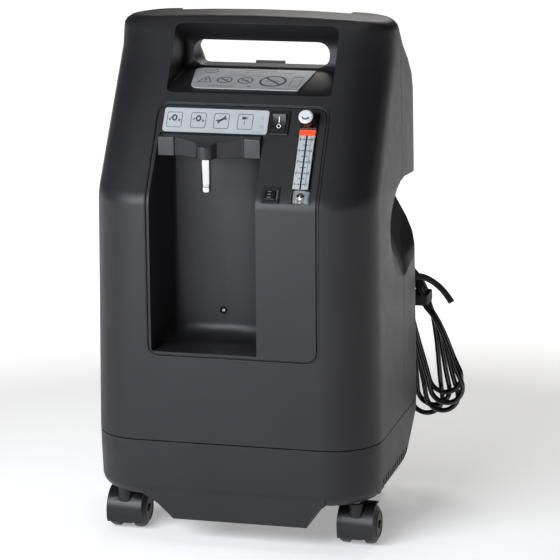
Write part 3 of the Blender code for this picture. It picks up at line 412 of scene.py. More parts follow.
def printed_plate(name, colour, roughness=0.38):
    """A smooth satin film with a faint orange peel and a handled haze."""
    look = Look(name)
    look.soft_edges(0.0004)
    smudge = look.ramp(look.noise(35.0, 5.0), 0.0, 1.0, 0.35, 0.70)
    look.colour(look.mixed(smudge, colour, tuple(channel * 0.93 for channel in colour)))
    look.roughness(look.ramp(look.noise(50.0), roughness - 0.06, roughness + 0.10))
    look.bump(look.noise(900.0, 1.0), 0.00002)
    return look.material


def cord_jacket():
    """Glossy PVC with a slow waviness from being wound and faint scuffs."""
    look = Look("cord_jacket_pvc")
    scuff = look.ramp(look.noise(420.0, 5.0), 0.0, 1.0, 0.52, 0.74)
    look.colour(look.mixed(scuff, (0.0040, 0.0040, 0.0045), (0.0100, 0.0100, 0.0106)))
    look.roughness(look.ramp(look.noise(190.0, 3.0), 0.16, 0.24))
    look.bump(look.noise(70.0, 1.0), 0.00012)
    look.set(Coat_Weight=0.25, Coat_Roughness=0.12)
    return look.material


def rubber(name, colour, roughness=0.62):
    look = Look(name)
    look.soft_edges(0.0005)
    dusty = tuple(channel * 1.8 + 0.004 for channel in colour)
    look.colour(look.mixed(look.ramp(look.noise(80.0), 0.0, 1.0), colour, dusty))
    look.roughness(look.ramp(look.noise(260.0), roughness - 0.10, roughness + 0.12))
    look.bump(look.noise(1100.0, 3.0), 0.00006)
    return look.material


def webbing():
    """Black hook-and-loop strap: a woven rib crossed by yarns, with a napped sheen."""
    look = Look("strap_weave", 0.9)
    warp = look.waves(260.0, "X")
    weft = look.waves(260.0, "Z")
    crossed = look.node("ShaderNodeMath", operation="MULTIPLY")
    look.link(warp, crossed.inputs[0]).link(weft, crossed.inputs[1])
    look.colour(look.mixed(crossed.outputs["Value"], (0.006, 0.006, 0.006), (0.030, 0.030, 0.031)))
    look.roughness(look.ramp(look.noise(500.0), 0.80, 0.96))
    look.bump(crossed.outputs["Value"], 0.0004)
    look.bump(look.noise(1600.0, 4.0), 0.0002)
    look.set(Sheen_Weight=0.35, Sheen_Roughness=0.5)
    return look.material


def clear_acrylic():
    """Polished clear block, faintly warm, with moulding flow in its skin."""
    look = Look("clear_acrylic_block")
    look.soft_edges(0.0005)
    look.colour(look.mixed(look.ramp(look.noise(120.0), 0.0, 1.0), (0.90, 0.93, 0.92), (0.97, 0.98, 0.97)))
    look.roughness(look.ramp(look.noise(90.0), 0.02, 0.08))
    look.bump(look.noise(70.0, 1.0), 0.00015)
    look.set(Transmission_Weight=1.0, IOR=1.45)
    return look.material


def foam():
    look = Look("open_cell_foam", 0.95)
    cells = look.node("ShaderNodeTexVoronoi")
    cells.inputs["Scale"].default_value = 900.0
    look.link(look.place, cells.inputs["Vector"])
    depth = cells.outputs["Distance"]
    # The cell pits are painted darker: painted shade in the holes of the foam.
    pit_shade = look.ramp(depth, 0.0, 1.0, 0.1, 0.6)
    look.colour(look.mixed(pit_shade, (0.004, 0.004, 0.004), (0.045, 0.045, 0.047)))
    look.roughness(look.ramp(look.noise(300.0), 0.88, 1.0))
    look.bump(depth, 0.0010)
    return look.material


def circuit_board():
    """Green solder mask with faint tracks."""
    look = Look("solder_mask", 0.35)
    tracks = look.node("ShaderNodeTexBrick", offset=0.3)
    tracks.inputs["Scale"].default_value = 160.0
    tracks.inputs["Mortar Size"].default_value = 0.06
    look.link(look.place, tracks.inputs["Vector"])
    look.colour(look.mixed(tracks.outputs["Fac"], (0.012, 0.085, 0.040), (0.045, 0.180, 0.090)))
    look.roughness(look.ramp(look.noise(120.0), 0.25, 0.45))
    look.bump(tracks.outputs["Fac"], 0.00008)
    return look.material


def hose_silicone():
    look = Look("silicone_hose", 0.4)
    look.colour(look.mixed(look.ramp(look.noise(60.0), 0.0, 1.0), (0.60, 0.61, 0.59), (0.74, 0.75, 0.73)))
    look.roughness(look.ramp(look.noise(140.0), 0.30, 0.50))
    look.bump(look.noise(400.0), 0.0001)
    look.set(Subsurface_Weight=0.2, Subsurface_Scale=0.004)
    return look.material


def ink(name, colour, roughness=0.5):
    """Screen-printed ink: slightly uneven in cover and height."""
    look = Look(name)
    cover = look.ramp(look.noise(900.0, 4.0), 0.0, 1.0, 0.40, 0.75)
    look.colour(look.mixed(cover, colour, tuple(min(1.0, c * 1.25 + 0.01) for c in colour)))
    look.roughness(look.ramp(look.noise(600.0), roughness - 0.08, roughness + 0.08))
    look.bump(look.noise(2200.0, 2.0), 0.00002)
    return look.material


def split_by_height(name, at, direction, level, below, above, rough_below, rough_above, metal_above=0.0):
    """Two finishes on one moulding, parted by a plane at a distance from a point."""
    look = Look(name)
    look.soft_edges(0.0005)
    offset = look.node("ShaderNodeVectorMath", operation="SUBTRACT")
    offset.inputs[1].default_value = at
    look.link(look.place, offset.inputs[0])
    height = look.node("ShaderNodeVectorMath", operation="DOT_PRODUCT")
    height.inputs[1].default_value = direction
    look.link(offset.outputs["Vector"], height.inputs[0])
    over = look.ramp(height.outputs["Value"], 0.0, 1.0, level - 0.0001, level + 0.0001)
    haze = look.ramp(look.noise(160.0, 4.0), 0.0, 1.0)
    first = look.mixed(haze, below, tuple(channel * 1.5 + 0.003 for channel in below))
    second = look.mixed(haze, above, tuple(channel * 0.92 for channel in above))
    look.colour(look.mixed(over, first, second))
    rough = look.node("ShaderNodeMix")
    look.link(over, rough.inputs["Factor"])
    look.link(look.ramp(look.noise(220.0), rough_below - 0.05, rough_below + 0.05), rough.inputs["A"])
    look.link(look.ramp(look.noise(220.0), rough_above - 0.04, rough_above + 0.06), rough.inputs["B"])
    look.roughness(rough.outputs["Result"])
    if metal_above:
        look.link(look.ramp(over, 0.0, metal_above, 0.0, 1.0), look.shader.inputs["Metallic"])
    look.bump(look.noise(1200.0), 0.00003)
    return look.material


FACE_OUT = Vector((0.0, -math.cos(LEAN), math.sin(LEAN)))


def face_point(x, z):
    """A point on the leaning control face."""
    return Vector((x, FRONT_Y + math.tan(LEAN) * (z - CREASE_Z), z))


CHARCOAL = moulded("moulded_charcoal", (0.0082, 0.0082, 0.0096),
                   (0.0108, 0.0108, 0.0124), 0.47, 0.00003, 2600.0)
SATIN_BLACK = moulded("satin_black", (0.0055, 0.0055, 0.0060),
                      (0.0085, 0.0085, 0.0090), 0.38, 0.00002, 2200.0)
GLOSS_BLACK = moulded("gloss_black", (0.0065, 0.0065, 0.0070),
                      (0.0090, 0.0090, 0.0095), 0.22, 0.00001, 900.0, 0.12)
CASTER_BLACK = moulded("caster_nylon", (0.0085, 0.0085, 0.0095),
                       (0.0130, 0.0130, 0.0140), 0.40, 0.00003, 1800.0, 0.35)
# The hood's black is painted lighter than the other black mouldings, a painted highlight standing in for the
# bright pads.
HOOD_BLACK_PAINTED_LIGHT = moulded("hood_black_painted_light", (0.0150, 0.0150, 0.0170),
                     (0.0185, 0.0185, 0.0205), 0.34, 0.00002, 2400.0)
RUBBER_BLACK = rubber("black_rubber", (0.010, 0.010, 0.010))
ZINC = brushed("zinc_sheet", (0.55, 0.56, 0.58), 0.38, (1.0, 14.0, 1.0))
CASTING = cast("cast_aluminium_skin", (0.62, 0.63, 0.64), 0.48)
DRAWN = brushed("drawn_aluminium_can", (0.74, 0.75, 0.76), 0.28, (1.0, 1.0, 22.0))
STEEL = brushed("plated_steel", (0.60, 0.60, 0.62), 0.30, (1.0, 1.0, 9.0))
NICKEL = brushed("bright_nickel", (0.86, 0.86, 0.87), 0.14, (1.0, 1.0, 0.08), 900.0, 0.00001)
COPPER = brushed("drawn_copper", (0.76, 0.38, 0.22), 0.30, (6.0, 6.0, 1.0))
INDICATOR_FILM = printed_plate("indicator_film", (0.350, 0.366, 0.386))
LABEL_FILM = printed_plate("label_film", (0.430, 0.440, 0.455), 0.42)
WHITE_MOULDING = printed_plate("white_moulding", (0.74, 0.75, 0.75), 0.34)
ACRYLIC = clear_acrylic()
CORD_PVC = cord_jacket()
STRAP = webbing()
BLACK_INK = ink("black_ink", (0.020, 0.020, 0.022))
GREY_INK = ink("grey_ink", (0.150, 0.155, 0.165))
# Grey ink for the rating bars, also used as the painted highlight on the breaker's rib.
DIM_INK_AND_HIGHLIGHT = ink("dim_ink_and_highlight", (0.110, 0.110, 0.118))
PALE_INK = ink("pale_ink", (0.620, 0.630, 0.640))
RED_INK = ink("red_ink", (0.780, 0.065, 0.018), 0.35)
SCALE_WHITE = printed_plate("scale_white", (0.36, 0.37, 0.385), 0.30)
KNOB_FINISH = split_by_height("knob_two_tone", tuple(face_point(*KNOB_AT)), tuple(FACE_OUT), 0.0186,
                              (0.0080, 0.0075, 0.0075), (0.56, 0.57, 0.60), 0.28, 0.30)
SCREW_FINISH = brushed("blackened_steel", (0.070, 0.070, 0.074), 0.34, (4.0, 1.0, 4.0))

SLOT_LOOKS = {
    "charcoal_abs": CHARCOAL,
    "black_plastic": SATIN_BLACK,
    "gloss_black": GLOSS_BLACK,
    "grey_label": LABEL_FILM,
    "white_plastic": WHITE_MOULDING,
    "clear_acrylic": ACRYLIC,
    "bright_fitting": NICKEL,
    "steel": STEEL,
    "zinc_sheet": ZINC,
    "cast_aluminium": CASTING,
    "drawn_aluminium": DRAWN,
    "rubber": RUBBER_BLACK,
    "cord_jacket": CORD_PVC,
    "strap_fabric": STRAP,
    "foam": foam(),
    "board": circuit_board(),
    "copper": COPPER,
    "hose": hose_silicone(),
}
NODE_LOOKS = {
    "indicator_panel": INDICATOR_FILM,
    "flow_control_knob": KNOB_FINISH,
    "recess_screw": SCREW_FINISH,
    "flow_meter_float": GLOSS_BLACK,
    "outlet_hood": HOOD_BLACK_PAINTED_LIGHT,
    "power_switch_rocker": SATIN_BLACK,
    **{f"caster_{part}_{corner}": CASTER_BLACK for part in ("hood", "wheels") for corner in CASTERS},
}


def smoothing_group(degrees=32.0):
    """A modifier that joins a solid's loose triangles and shades them smooth between its sharp edges."""
    group = bpy.data.node_groups.new("smooth_between_edges", "GeometryNodeTree")
    for way in ("INPUT", "OUTPUT"):
        group.interface.new_socket("Geometry", in_out=way, socket_type="NodeSocketGeometry")
    enter, leave = group.nodes.new("NodeGroupInput"), group.nodes.new("NodeGroupOutput")
    merge = group.nodes.new("GeometryNodeMergeByDistance")
    merge.inputs["Distance"].default_value = 0.00001
    drop = group.nodes.new("GeometryNodeRemoveAttribute")
    drop.inputs["Name"].default_value = "custom_normal"
    faces = group.nodes.new("GeometryNodeSetShadeSmooth")
    edges = group.nodes.new("GeometryNodeSetShadeSmooth")
    edges.domain = "EDGE"
    edges.inputs["Shade Smooth"].default_value = False
    angle = group.nodes.new("GeometryNodeInputMeshEdgeAngle")
    sharp = group.nodes.new("FunctionNodeCompare")
    sharp.inputs["B"].default_value = math.radians(degrees)
    for source, target in (
        (enter.outputs[0], merge.inputs["Geometry"]),
        (merge.outputs[0], drop.inputs["Geometry"]),
        (drop.outputs[0], faces.inputs["Geometry"]),
        (faces.outputs[0], edges.inputs["Geometry"]),
        (angle.outputs["Unsigned Angle"], sharp.inputs["A"]),
        (sharp.outputs["Result"], edges.inputs["Selection"]),
        (edges.outputs[0], leave.inputs[0]),
    ):
        group.links.new(source, target)
    return group


SMOOTHING = smoothing_group()
node_slots = {part["node"]: part["material_slot"] for part in frame["record"]["subparts"]}
for node_name, node in frame["nodes"].items():
    look = NODE_LOOKS.get(node_name, SLOT_LOOKS[node_slots[node_name]])
    for material_slot in node.material_slots:
        material_slot.material = look
    node.modifiers.new("smooth", "NODES").node_group = SMOOTHING
    node.modifiers.new("even", "WEIGHTED_NORMAL").keep_sharp = True

cord.data.materials.append(CORD_PVC)


# ---- detail helpers
def mesh_piece(name, bm, look, body="cabinet", matrix=None, smooth=False):
    bmesh.ops.recalc_face_normals(bm, faces=bm.faces)
    mesh = bpy.data.meshes.new(name)
    bm.to_mesh(mesh)
    bm.free()
    if matrix is not None:
        mesh.transform(matrix)
    if smooth:
        mesh.shade_smooth()
    mesh.materials.append(look)
    piece = bpy.data.objects.new(name, mesh)
    bpy.context.scene.collection.objects.link(piece)
    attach(piece, body)
    return piece


def face_matrix(x, z, tilt=0.0):
    """Local X across, Y up the slope and Z out of the leaning face."""
    return Matrix.Translation(face_point(x, z)) @ Matrix.Rotation(math.pi / 2 - LEAN + tilt, 4, "X")


def slab(bm, outline, low, high):
    """An outline of (x, y) points as a closed slab."""
    lower = [bm.verts.new((x, y, low)) for x, y in outline]
    upper = [bm.verts.new((x, y, high)) for x, y in outline]
    bm.faces.new(lower)
    bm.faces.new(upper)
    for i in range(len(outline)):
        j = (i + 1) % len(outline)
        bm.faces.new((lower[i], lower[j], upper[j], upper[i]))


def stroke(bm, points, width, low, high, closed=False):
    """A flat printed line of even width through (x, y) points, with mitred corners."""
    line = [Vector(point) for point in points]
    left, right = [], []
    count = len(line)
    for i, point in enumerate(line):
        before = line[i - 1] if i or closed else None
        after = line[(i + 1) % count] if i + 1 < count or closed else None
        pairs = [(a, b) for a, b in ((before, point), (point, after)) if a is not None and b is not None]
        ways = [(b - a).normalized() for a, b in pairs]
        normals = [Vector((-way.y, way.x)) for way in ways]
        side = sum(normals, Vector((0, 0))).normalized()
        reach = width / 2 / max(0.4, side.dot(normals[0]))
        left.append(point + side * reach)
        right.append(point - side * reach)
    rings = [[bm.verts.new((p.x, p.y, z)) for p in edge] for edge, z in
             ((left, low), (right, low), (right, high), (left, high))]
    spans = count if closed else count - 1
    for i in range(spans):
        j = (i + 1) % count
        for a, b in zip(rings, rings[1:] + rings[:1]):
            bm.faces.new((a[i], a[j], b[j], b[i]))
    if not closed:
        for i in (0, -1):
            bm.faces.new([ring[i] for ring in rings])


def ring_points(x, y, radius_x, radius_y=None, steps=24):
    radius_y = radius_y or radius_x
    turns = [2 * math.pi * step / steps for step in range(steps)]
    return [(x + radius_x * math.cos(t), y + radius_y * math.sin(t)) for t in turns]


def rounded(left, right, low, high, radius, steps=4):
    points = []
    points += arc((right - radius, high - radius), radius, 0, 90, steps)
    points += arc((left + radius, high - radius), radius, 90, 180, steps)
    points += arc((left + radius, low + radius), radius, 180, 270, steps)
    points += arc((right - radius, low + radius), radius, 270, 360, steps)
    return points


def front_y(z):
    """The cabinet's front surface at a height: upright, then leaning back above the crease."""
    if z <= CREASE_Z - CREASE_BLEND:
        return FRONT_Y
    if z >= CREASE_Z + CREASE_BLEND:
        return FRONT_Y + math.tan(LEAN) * (z - CREASE_Z)
    return FRONT_Y + math.tan(LEAN) * (z - CREASE_Z + CREASE_BLEND) ** 2 / (4 * CREASE_BLEND)


# ---- panel surround: a black bead sunk in the gap as painted shade for the groove, and the raised lip round it
def front_loop(name, outset, sunk, radius, look):
    """A closed bead that follows the panel's edge over the cabinet's bent front."""
    left, right, low, high, corner = APERTURE
    outline = rounded(left - outset, right + outset, low - outset, high + outset, corner + outset, 8)
    dense = []
    for (x0, z0), (x1, z1) in zip(outline, outline[1:] + outline[:1]):
        pieces = max(1, round(math.hypot(x1 - x0, z1 - z0) / 0.003))
        dense += [(x0 + (x1 - x0) * k / pieces, z0 + (z1 - z0) * k / pieces) for k in range(pieces)]
    bead = line_piece(name, [(x, front_y(z) + sunk, z) for x, z in dense], radius, closed=True)
    bead.data.materials.append(look)
    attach(bead, "cabinet")
    return bead


# A black rubber bead in the gap between panel and shell: painted shade where the groove is dark.
front_loop("panel_gap_shade_bead", -PANEL_GAP / 2, 0.0024, 0.00086, RUBBER_BLACK)
front_loop("panel_lip", 0.0011, 0.0004, 0.0010, CHARCOAL)

# ---- indicator strip
FILM_TOP = 0.0016
INK = 0.00012


def indicator_marks():
    """Four framed symbols and a status light: ring and tick, plain ring, spanner, mains lead."""
    bm = bmesh.new()
    low, high = FILM_TOP, FILM_TOP + INK
    centres = [-0.0492, -0.0207, 0.0068, 0.0350]
    for x in centres:
        stroke(bm, rounded(x - 0.0088, x + 0.0088, -0.0092, 0.0092, 0.0022), 0.00062, low, high, True)
    for x, mark in ((centres[0], 0.0008), (centres[1], 0.0)):
        stroke(bm, ring_points(x, 0.0024, 0.0024, 0.0031, 18), 0.0018, low, high, True)
        if mark:
            tick = [(x - 0.0066, 0.0010), (x - 0.0055, -0.0006), (x - 0.0038, 0.0034)]
            stroke(bm, tick, 1.3 * mark, low, high)
        else:
            stroke(bm, [(x - 0.0062, -0.0002), (x - 0.0044, 0.0026)], 0.0011, low, high)
        stroke(bm, ring_points(x + 0.0058, -0.0004, 0.0009, 0.0010, 10), 0.0009, low, high, True)
    x = centres[2]
    stroke(bm, [(x - 0.0030, -0.0002), (x + 0.0032, 0.0034)], 0.0026, low, high)
    for side in (-1, 1):
        end_x, end_y = (x + 0.0049, 0.0044) if side > 0 else (x - 0.0045, -0.0010)
        jaw = arc((end_x, end_y), 0.0017, 95 if side > 0 else 275, 325 if side > 0 else 505, 8)
        stroke(bm, jaw, 0.0018, low, high)
    x = centres[3]
    slab(bm, rounded(x - 0.0040, x + 0.0008, 0.0028, 0.0060, 0.0006), low, high)
    for prong in (0.0037, 0.0051):
        stroke(bm, [(x + 0.0008, prong), (x + 0.0030, prong)], 0.0006, low, high)
    stroke(bm, [(x - 0.0008, 0.0012), (x - 0.0008, -0.0040)], 0.0007, low, high)
    mesh_piece("indicator_symbols", bm, BLACK_INK, matrix=face_matrix(*INDICATOR_AT))
    bm = bmesh.new()
    stroke(bm, ring_points(0.0552, 0.0050, 0.0013, 0.0016, 14), 0.0004, low, high, True)
    stroke(bm, ring_points(0.0552, -0.0052, 0.0015, 0.0015, 14), 0.0005, low, high, True)
    stroke(bm, [(0.0430, -0.0125), (0.0560, -0.0125)], 0.0004, low, high)
    mesh_piece("indicator_small_marks", bm, GREY_INK, matrix=face_matrix(*INDICATOR_AT))


indicator_marks()

# ---- power switch and reset button
ROCKER_VALLEY, ROCKER_EDGE, ROCKER_HALF = 0.0026, 0.0046, 0.0103
ROCKER_SLOPE = math.atan2(ROCKER_EDGE - ROCKER_VALLEY, ROCKER_HALF)
LINE_MARK_AT, RING_MARK_AT = 0.0036, -0.0040


def rocker_marks():
    """A line on the upper half of the rocker and a ring on the lower half."""
    height = ROCKER_VALLEY + math.tan(ROCKER_SLOPE) * LINE_MARK_AT
    rocker = face_matrix(*SWITCH_AT, ROCKER_TILT)
    upper = rocker @ Matrix.Translation((0, LINE_MARK_AT, height)) @ Matrix.Rotation(ROCKER_SLOPE, 4, "X")
    lower = rocker @ Matrix.Translation((0, RING_MARK_AT, height)) @ Matrix.Rotation(-ROCKER_SLOPE, 4, "X")
    bm = bmesh.new()
    stroke(bm, [(0, -0.0030), (0, 0.0036)], 0.0008, -0.0001, INK)
    mesh_piece("rocker_line_mark", bm, PALE_INK, "switch_rocker", upper)
    bm = bmesh.new()
    stroke(bm, ring_points(0, 0.0000, 0.0021, 0.0023, 20), 0.0008, -0.0001, INK, True)
    mesh_piece("rocker_ring_mark", bm, PALE_INK, "switch_rocker", lower)


def breaker_marks():
    """Rating bars on the button and a raised rib down the right of its bezel, inked grey as a painted
    highlight.
    """
    bm = bmesh.new()
    top = 0.0036
    for y in (-0.0034, 0.0000, 0.0034):
        stroke(bm, [(-0.0030, y), (0.0012, y)], 0.0007, top, top + INK)
    mesh_piece("reset_button_bars", bm, DIM_INK_AND_HIGHLIGHT, "reset_button", face_matrix(*BREAKER_AT))
    bm = bmesh.new()
    # The rib's grey is a painted highlight along the raised rib.
    stroke(bm, [(0.0078, -0.0058), (0.0078, 0.0050), (0.0062, 0.0060)], 0.0006, 0.0018, 0.0018 + 0.0003)
    mesh_piece("reset_bezel_rib_painted_highlight", bm, DIM_INK_AND_HIGHLIGHT, "cabinet", face_matrix(*BREAKER_AT))


rocker_marks()
breaker_marks()

# ---- flow meter
METER_TOP = 0.0040
METER_HALF_WIDTH, METER_HALF = 0.0101, 0.0445
SCALE_LOW, SCALE_HIGH = -0.0290, 0.0362
BAND_HIGH = 0.0436
TUBE_HALF = 0.0009
TICKS = 9
DIGITS = {
    "1": [[(0.2, 0.8), (0.5, 1.0), (0.5, 0.0)]],
    "2": [[(0.0, 0.8), (0.5, 1.0), (1.0, 0.75), (0.0, 0.0), (1.0, 0.0)]],
    "3": [[(0.0, 1.0), (1.0, 1.0), (0.5, 0.55), (1.0, 0.25), (0.5, 0.0), (0.0, 0.1)]],
    "4": [[(0.75, 0.0), (0.75, 1.0), (0.0, 0.3), (1.0, 0.3)]],
    "5": [[(1.0, 1.0), (0.1, 1.0), (0.0, 0.55), (0.8, 0.6), (0.9, 0.1), (0.0, 0.0)]],
}


def meter_scale():
    """Printed scale on the block's front, split by the tube: pale ground, red band, ticks and figures."""
    place = face_matrix(*METER_AT)
    edge = METER_HALF_WIDTH - 0.0011
    ground = bmesh.new()
    for left, right in ((-edge, -TUBE_HALF), (TUBE_HALF, edge)):
        slab(ground, [(left, SCALE_LOW), (right, SCALE_LOW), (right, SCALE_HIGH), (left, SCALE_HIGH)],
             METER_TOP, METER_TOP + INK)
    mesh_piece("meter_scale_ground", ground, SCALE_WHITE, matrix=place)
    band = bmesh.new()
    slab(band, rounded(-edge - 0.0004, edge + 0.0004, SCALE_HIGH, SCALE_HIGH + 0.0072, 0.0004, 2),
         METER_TOP, METER_TOP + 1.5 * INK)
    mesh_piece("meter_red_band", band, RED_INK, matrix=place)
    marks = bmesh.new()
    low, high = METER_TOP + INK, METER_TOP + 2 * INK
    for tick in range(TICKS):
        y = SCALE_LOW + 0.0060 + 0.0068 * tick
        long_tick = tick % 2 == 0
        for side in (-1, 1):
            reach = 0.0040 if long_tick else 0.0026
            ends = [(side * (TUBE_HALF + 0.0003), y), (side * (TUBE_HALF + reach), y)]
            stroke(marks, ends, 0.0010, low, high)
        if long_tick:
            for line in DIGITS[str(1 + tick // 2)]:
                for at in (-0.0078, 0.0060):
                    figure = [(at + 0.0016 * u, y - 0.0012 + 0.0026 * v) for u, v in line]
                    stroke(marks, figure, 0.0007, low, high)
    mesh_piece("meter_scale_marks", marks, BLACK_INK, matrix=place)
    back = bmesh.new()
    slab(back, [(-0.0030, SCALE_LOW), (0.0030, SCALE_LOW), (0.0030, BAND_HIGH), (-0.0030, BAND_HIGH)],
         -0.0075, -0.0072)
    mesh_piece("meter_tube_backing", back, GREY_INK, matrix=place)
    foot = bmesh.new()
    slab(foot, rounded(-0.0088, 0.0088, -METER_HALF + 0.0012, SCALE_LOW, 0.0006, 2), -0.0044, -0.0041)
    mesh_piece("meter_foot_ground", foot, SCALE_WHITE, matrix=place)
    rule = bmesh.new()
    stroke(rule, [(0.0052, SCALE_LOW + 0.0030), (0.0052, SCALE_HIGH - 0.0020)], 0.0005, METER_TOP + INK,
           METER_TOP + 2 * INK)
    mesh_piece("meter_scale_rule", rule, BLACK_INK, matrix=place)


def meter_foot():
    """The clear lower end of the meter: a bright stop screw behind the acrylic."""
    bm = bmesh.new()
    bmesh.ops.create_cone(bm, cap_ends=True, segments=20, radius1=0.0050, radius2=0.0040, depth=0.0030)
    bmesh.ops.translate(bm, verts=bm.verts, vec=(0.0, -0.0365, -0.0022))
    bmesh.ops.bevel(bm, geom=list(bm.edges), offset=0.0004, segments=2, affect="EDGES")
    mesh_piece("meter_foot_insert", bm, NICKEL, matrix=face_matrix(*METER_AT), smooth=True)


def knob_marks():
    """An arrow on the knob's white face and the ribs round its grip."""
    place = face_matrix(*KNOB_AT)
    bm = bmesh.new()
    stroke(bm, arc((0.0, 0.0004), 0.0040, 200, 318, 10), 0.0016, 0.0205, 0.0205 + INK)
    slab(bm, [(0.0018, -0.0016), (0.0046, -0.0008), (0.0040, -0.0040)], 0.0205, 0.0205 + INK)
    mesh_piece("knob_arrow", bm, BLACK_INK, "flow_knob", place)
    bm = bmesh.new()
    ribs = 30
    for rib in range(ribs):
        turn = 2 * math.pi * rib / ribs
        outline = [(0.0083, -0.00032), (0.0092, -0.00018), (0.0092, 0.00018), (0.0083, 0.00032)]
        cos, sin = math.cos(turn), math.sin(turn)
        turned = [(x * cos - y * sin, x * sin + y * cos) for x, y in outline]
        slab(bm, turned, 0.0098, 0.0182)
    mesh_piece("knob_grip_ribs", bm, GLOSS_BLACK, "flow_knob", place)


meter_scale()
meter_foot()
knob_marks()

# ---- instruction label
LABEL_TOP = 0.0013


def label_marks():
    """Plain generic signs and grey rules in place of text."""
    place = Matrix.Translation(LABEL_AT) @ Matrix.Rotation(LABEL_RISE, 4, "X")
    low, high = LABEL_TOP, LABEL_TOP + INK
    bm = bmesh.new()
    stroke(bm, ring_points(-0.0520, -0.0095, 0.0080, 0.0060, 28), 0.0011, low, high, True)
    stroke(bm, [(-0.0558, -0.0110), (-0.0515, -0.0075), (-0.0485, -0.0085)], 0.0011, low, high)
    stroke(bm, [(-0.0595, -0.0455), (-0.0515, -0.0270), (-0.0435, -0.0455)], 0.0011, low, high, True)
    stroke(bm, [(-0.0515, -0.0340), (-0.0515, -0.0405)], 0.0016, low, high)
    for x, radius, width in ((-0.0290, 0.0086, 0.0015), (-0.0040, 0.0086, 0.0015), (0.0290, 0.0148, 0.0026)):
        stroke(bm, ring_points(x, -0.0372, radius, radius * 1.05, 32), width, low, high, True)
        reach = 0.72 * radius
        stroke(bm, [(x - reach, -0.0372 + reach), (x + reach, -0.0372 - reach)], width, low, high)
        stroke(bm, [(x - 0.55 * radius, -0.0375), (x + 0.50 * radius, -0.0360)], 0.0009, low, high)
    mesh_piece("label_signs", bm, BLACK_INK, matrix=place)
    bm = bmesh.new()
    rules = [
        (-0.0130, 0.0260, -0.0050, 0.0018), (-0.0300, 0.0500, -0.0105, 0.0010),
        (-0.0300, -0.0130, -0.0170, 0.0010), (0.0040, 0.0100, -0.0170, 0.0010),
        (-0.0300, 0.0150, -0.0225, 0.0009), (-0.0430, -0.0130, -0.0570, 0.0016),
        (0.0030, 0.0070, -0.0560, 0.0030), (0.0280, 0.0540, -0.0600, 0.0010),
    ]
    for start, end, y, width in rules:
        stroke(bm, [(start, y), (end, y)], width, low, high)
    stroke(bm, rounded(0.0510, 0.0620, -0.0530, -0.0180, 0.0008, 2), 0.0008, low, high, True)
    stroke(bm, [(0.0525, -0.0225), (0.0605, -0.0225)], 0.0026, low, high)
    mesh_piece("label_rules", bm, GREY_INK, matrix=place)


label_marks()

# ---- tab at the handle slot
def slot_tab():
    """A low rounded tab that stands just above the slot's lower edge."""
    bm = bmesh.new()
    slab(bm, rounded(-0.0120, 0.0240, 0.5452, 0.5490, 0.0014, 5), -0.0362, -0.0338)
    turn = Matrix(((1, 0, 0, 0), (0, 0, -1, 0), (0, 1, 0, 0), (0, 0, 0, 1)))
    mesh_piece("handle_slot_tab", bm, SATIN_BLACK, matrix=turn)


slot_tab()

# ---- recess screw
def screw_recess():
    """The cross in the screw's head and a black ring round it, painted shade for the dark counterbore."""
    place = Matrix.Translation(SCREW_AT) @ Matrix.Rotation(math.pi / 2, 4, "X")
    bm = bmesh.new()
    for turn in (40, 130):
        c, s = 0.0019 * math.cos(math.radians(turn)), 0.0019 * math.sin(math.radians(turn))
        stroke(bm, [(-c, -s), (c, s)], 0.0008, -0.0008, -0.0004)
    mesh_piece("recess_screw_cross", bm, STEEL, matrix=place)
    bm = bmesh.new()
    # A flat black ring round the screw: painted shade for the counterbore.
    stroke(bm, ring_points(0, 0, 0.0054, 0.0054, 32), 0.0012, -0.0004, 0.0003, True)
    mesh_piece("recess_screw_counterbore_shade", bm, RUBBER_BLACK, matrix=place)


screw_recess()

# ---- casters
def revolved(profile, segments):
    """A closed solid spun round Z from (radius, height) points that start and end on the axis."""
    bm = bmesh.new()
    verts = [bm.verts.new((radius, 0.0, height)) for radius, height in profile]
    edges = [bm.edges.new(pair) for pair in zip(verts, verts[1:])]
    bmesh.ops.spin(bm, geom=verts + edges, axis=(0, 0, 1), cent=(0, 0, 0), steps=segments, angle=2 * math.pi,
                   use_merge=True)
    bmesh.ops.remove_doubles(bm, verts=bm.verts, dist=0.000005)
    return bm


HUB = [(0.0, 0.0262), (0.0030, 0.0260), (0.0048, 0.0252), (0.0052, 0.0238), (0.0, 0.0238)]
RIM = [(0.0132, 0.0231), (0.0140, 0.0243), (0.0158, 0.0243), (0.0166, 0.0229)]


def caster_details(corner, x, y):
    """Hub caps and raised rims on both wheel faces."""
    for side, word in ((-1, "left"), (1, "right")):
        axle = Matrix.Translation((x, y + CASTER_TRAIL, WHEEL_RADIUS))
        turn = axle @ Matrix.Rotation(side * math.pi / 2, 4, "Y")
        wheels = f"wheels_{corner}"
        mesh_piece(f"wheel_hub_{corner}_{word}", revolved(HUB, 24), SATIN_BLACK, wheels, turn, True)
        bm = bmesh.new()
        rings = []
        for step in range(40):
            a = 2 * math.pi * step / 40
            rings.append([bm.verts.new((r * math.cos(a), r * math.sin(a), h)) for r, h in RIM])
        for ring, after in zip(rings, rings[1:] + rings[:1]):
            for k in range(len(RIM)):
                j = (k + 1) % len(RIM)
                bm.faces.new((ring[k], after[k], after[j], ring[j]))
        mesh_piece(f"wheel_rim_{corner}_{word}", bm, CASTER_BLACK, wheels, turn, True)


for corner, (x, y) in CASTERS.items():
    caster_details(corner, x, y)

# ---- strap round the folded cord
STRAP_HALF = 0.0063
STRAP_THICK = 0.0014
STRAP_Z = 0.2365


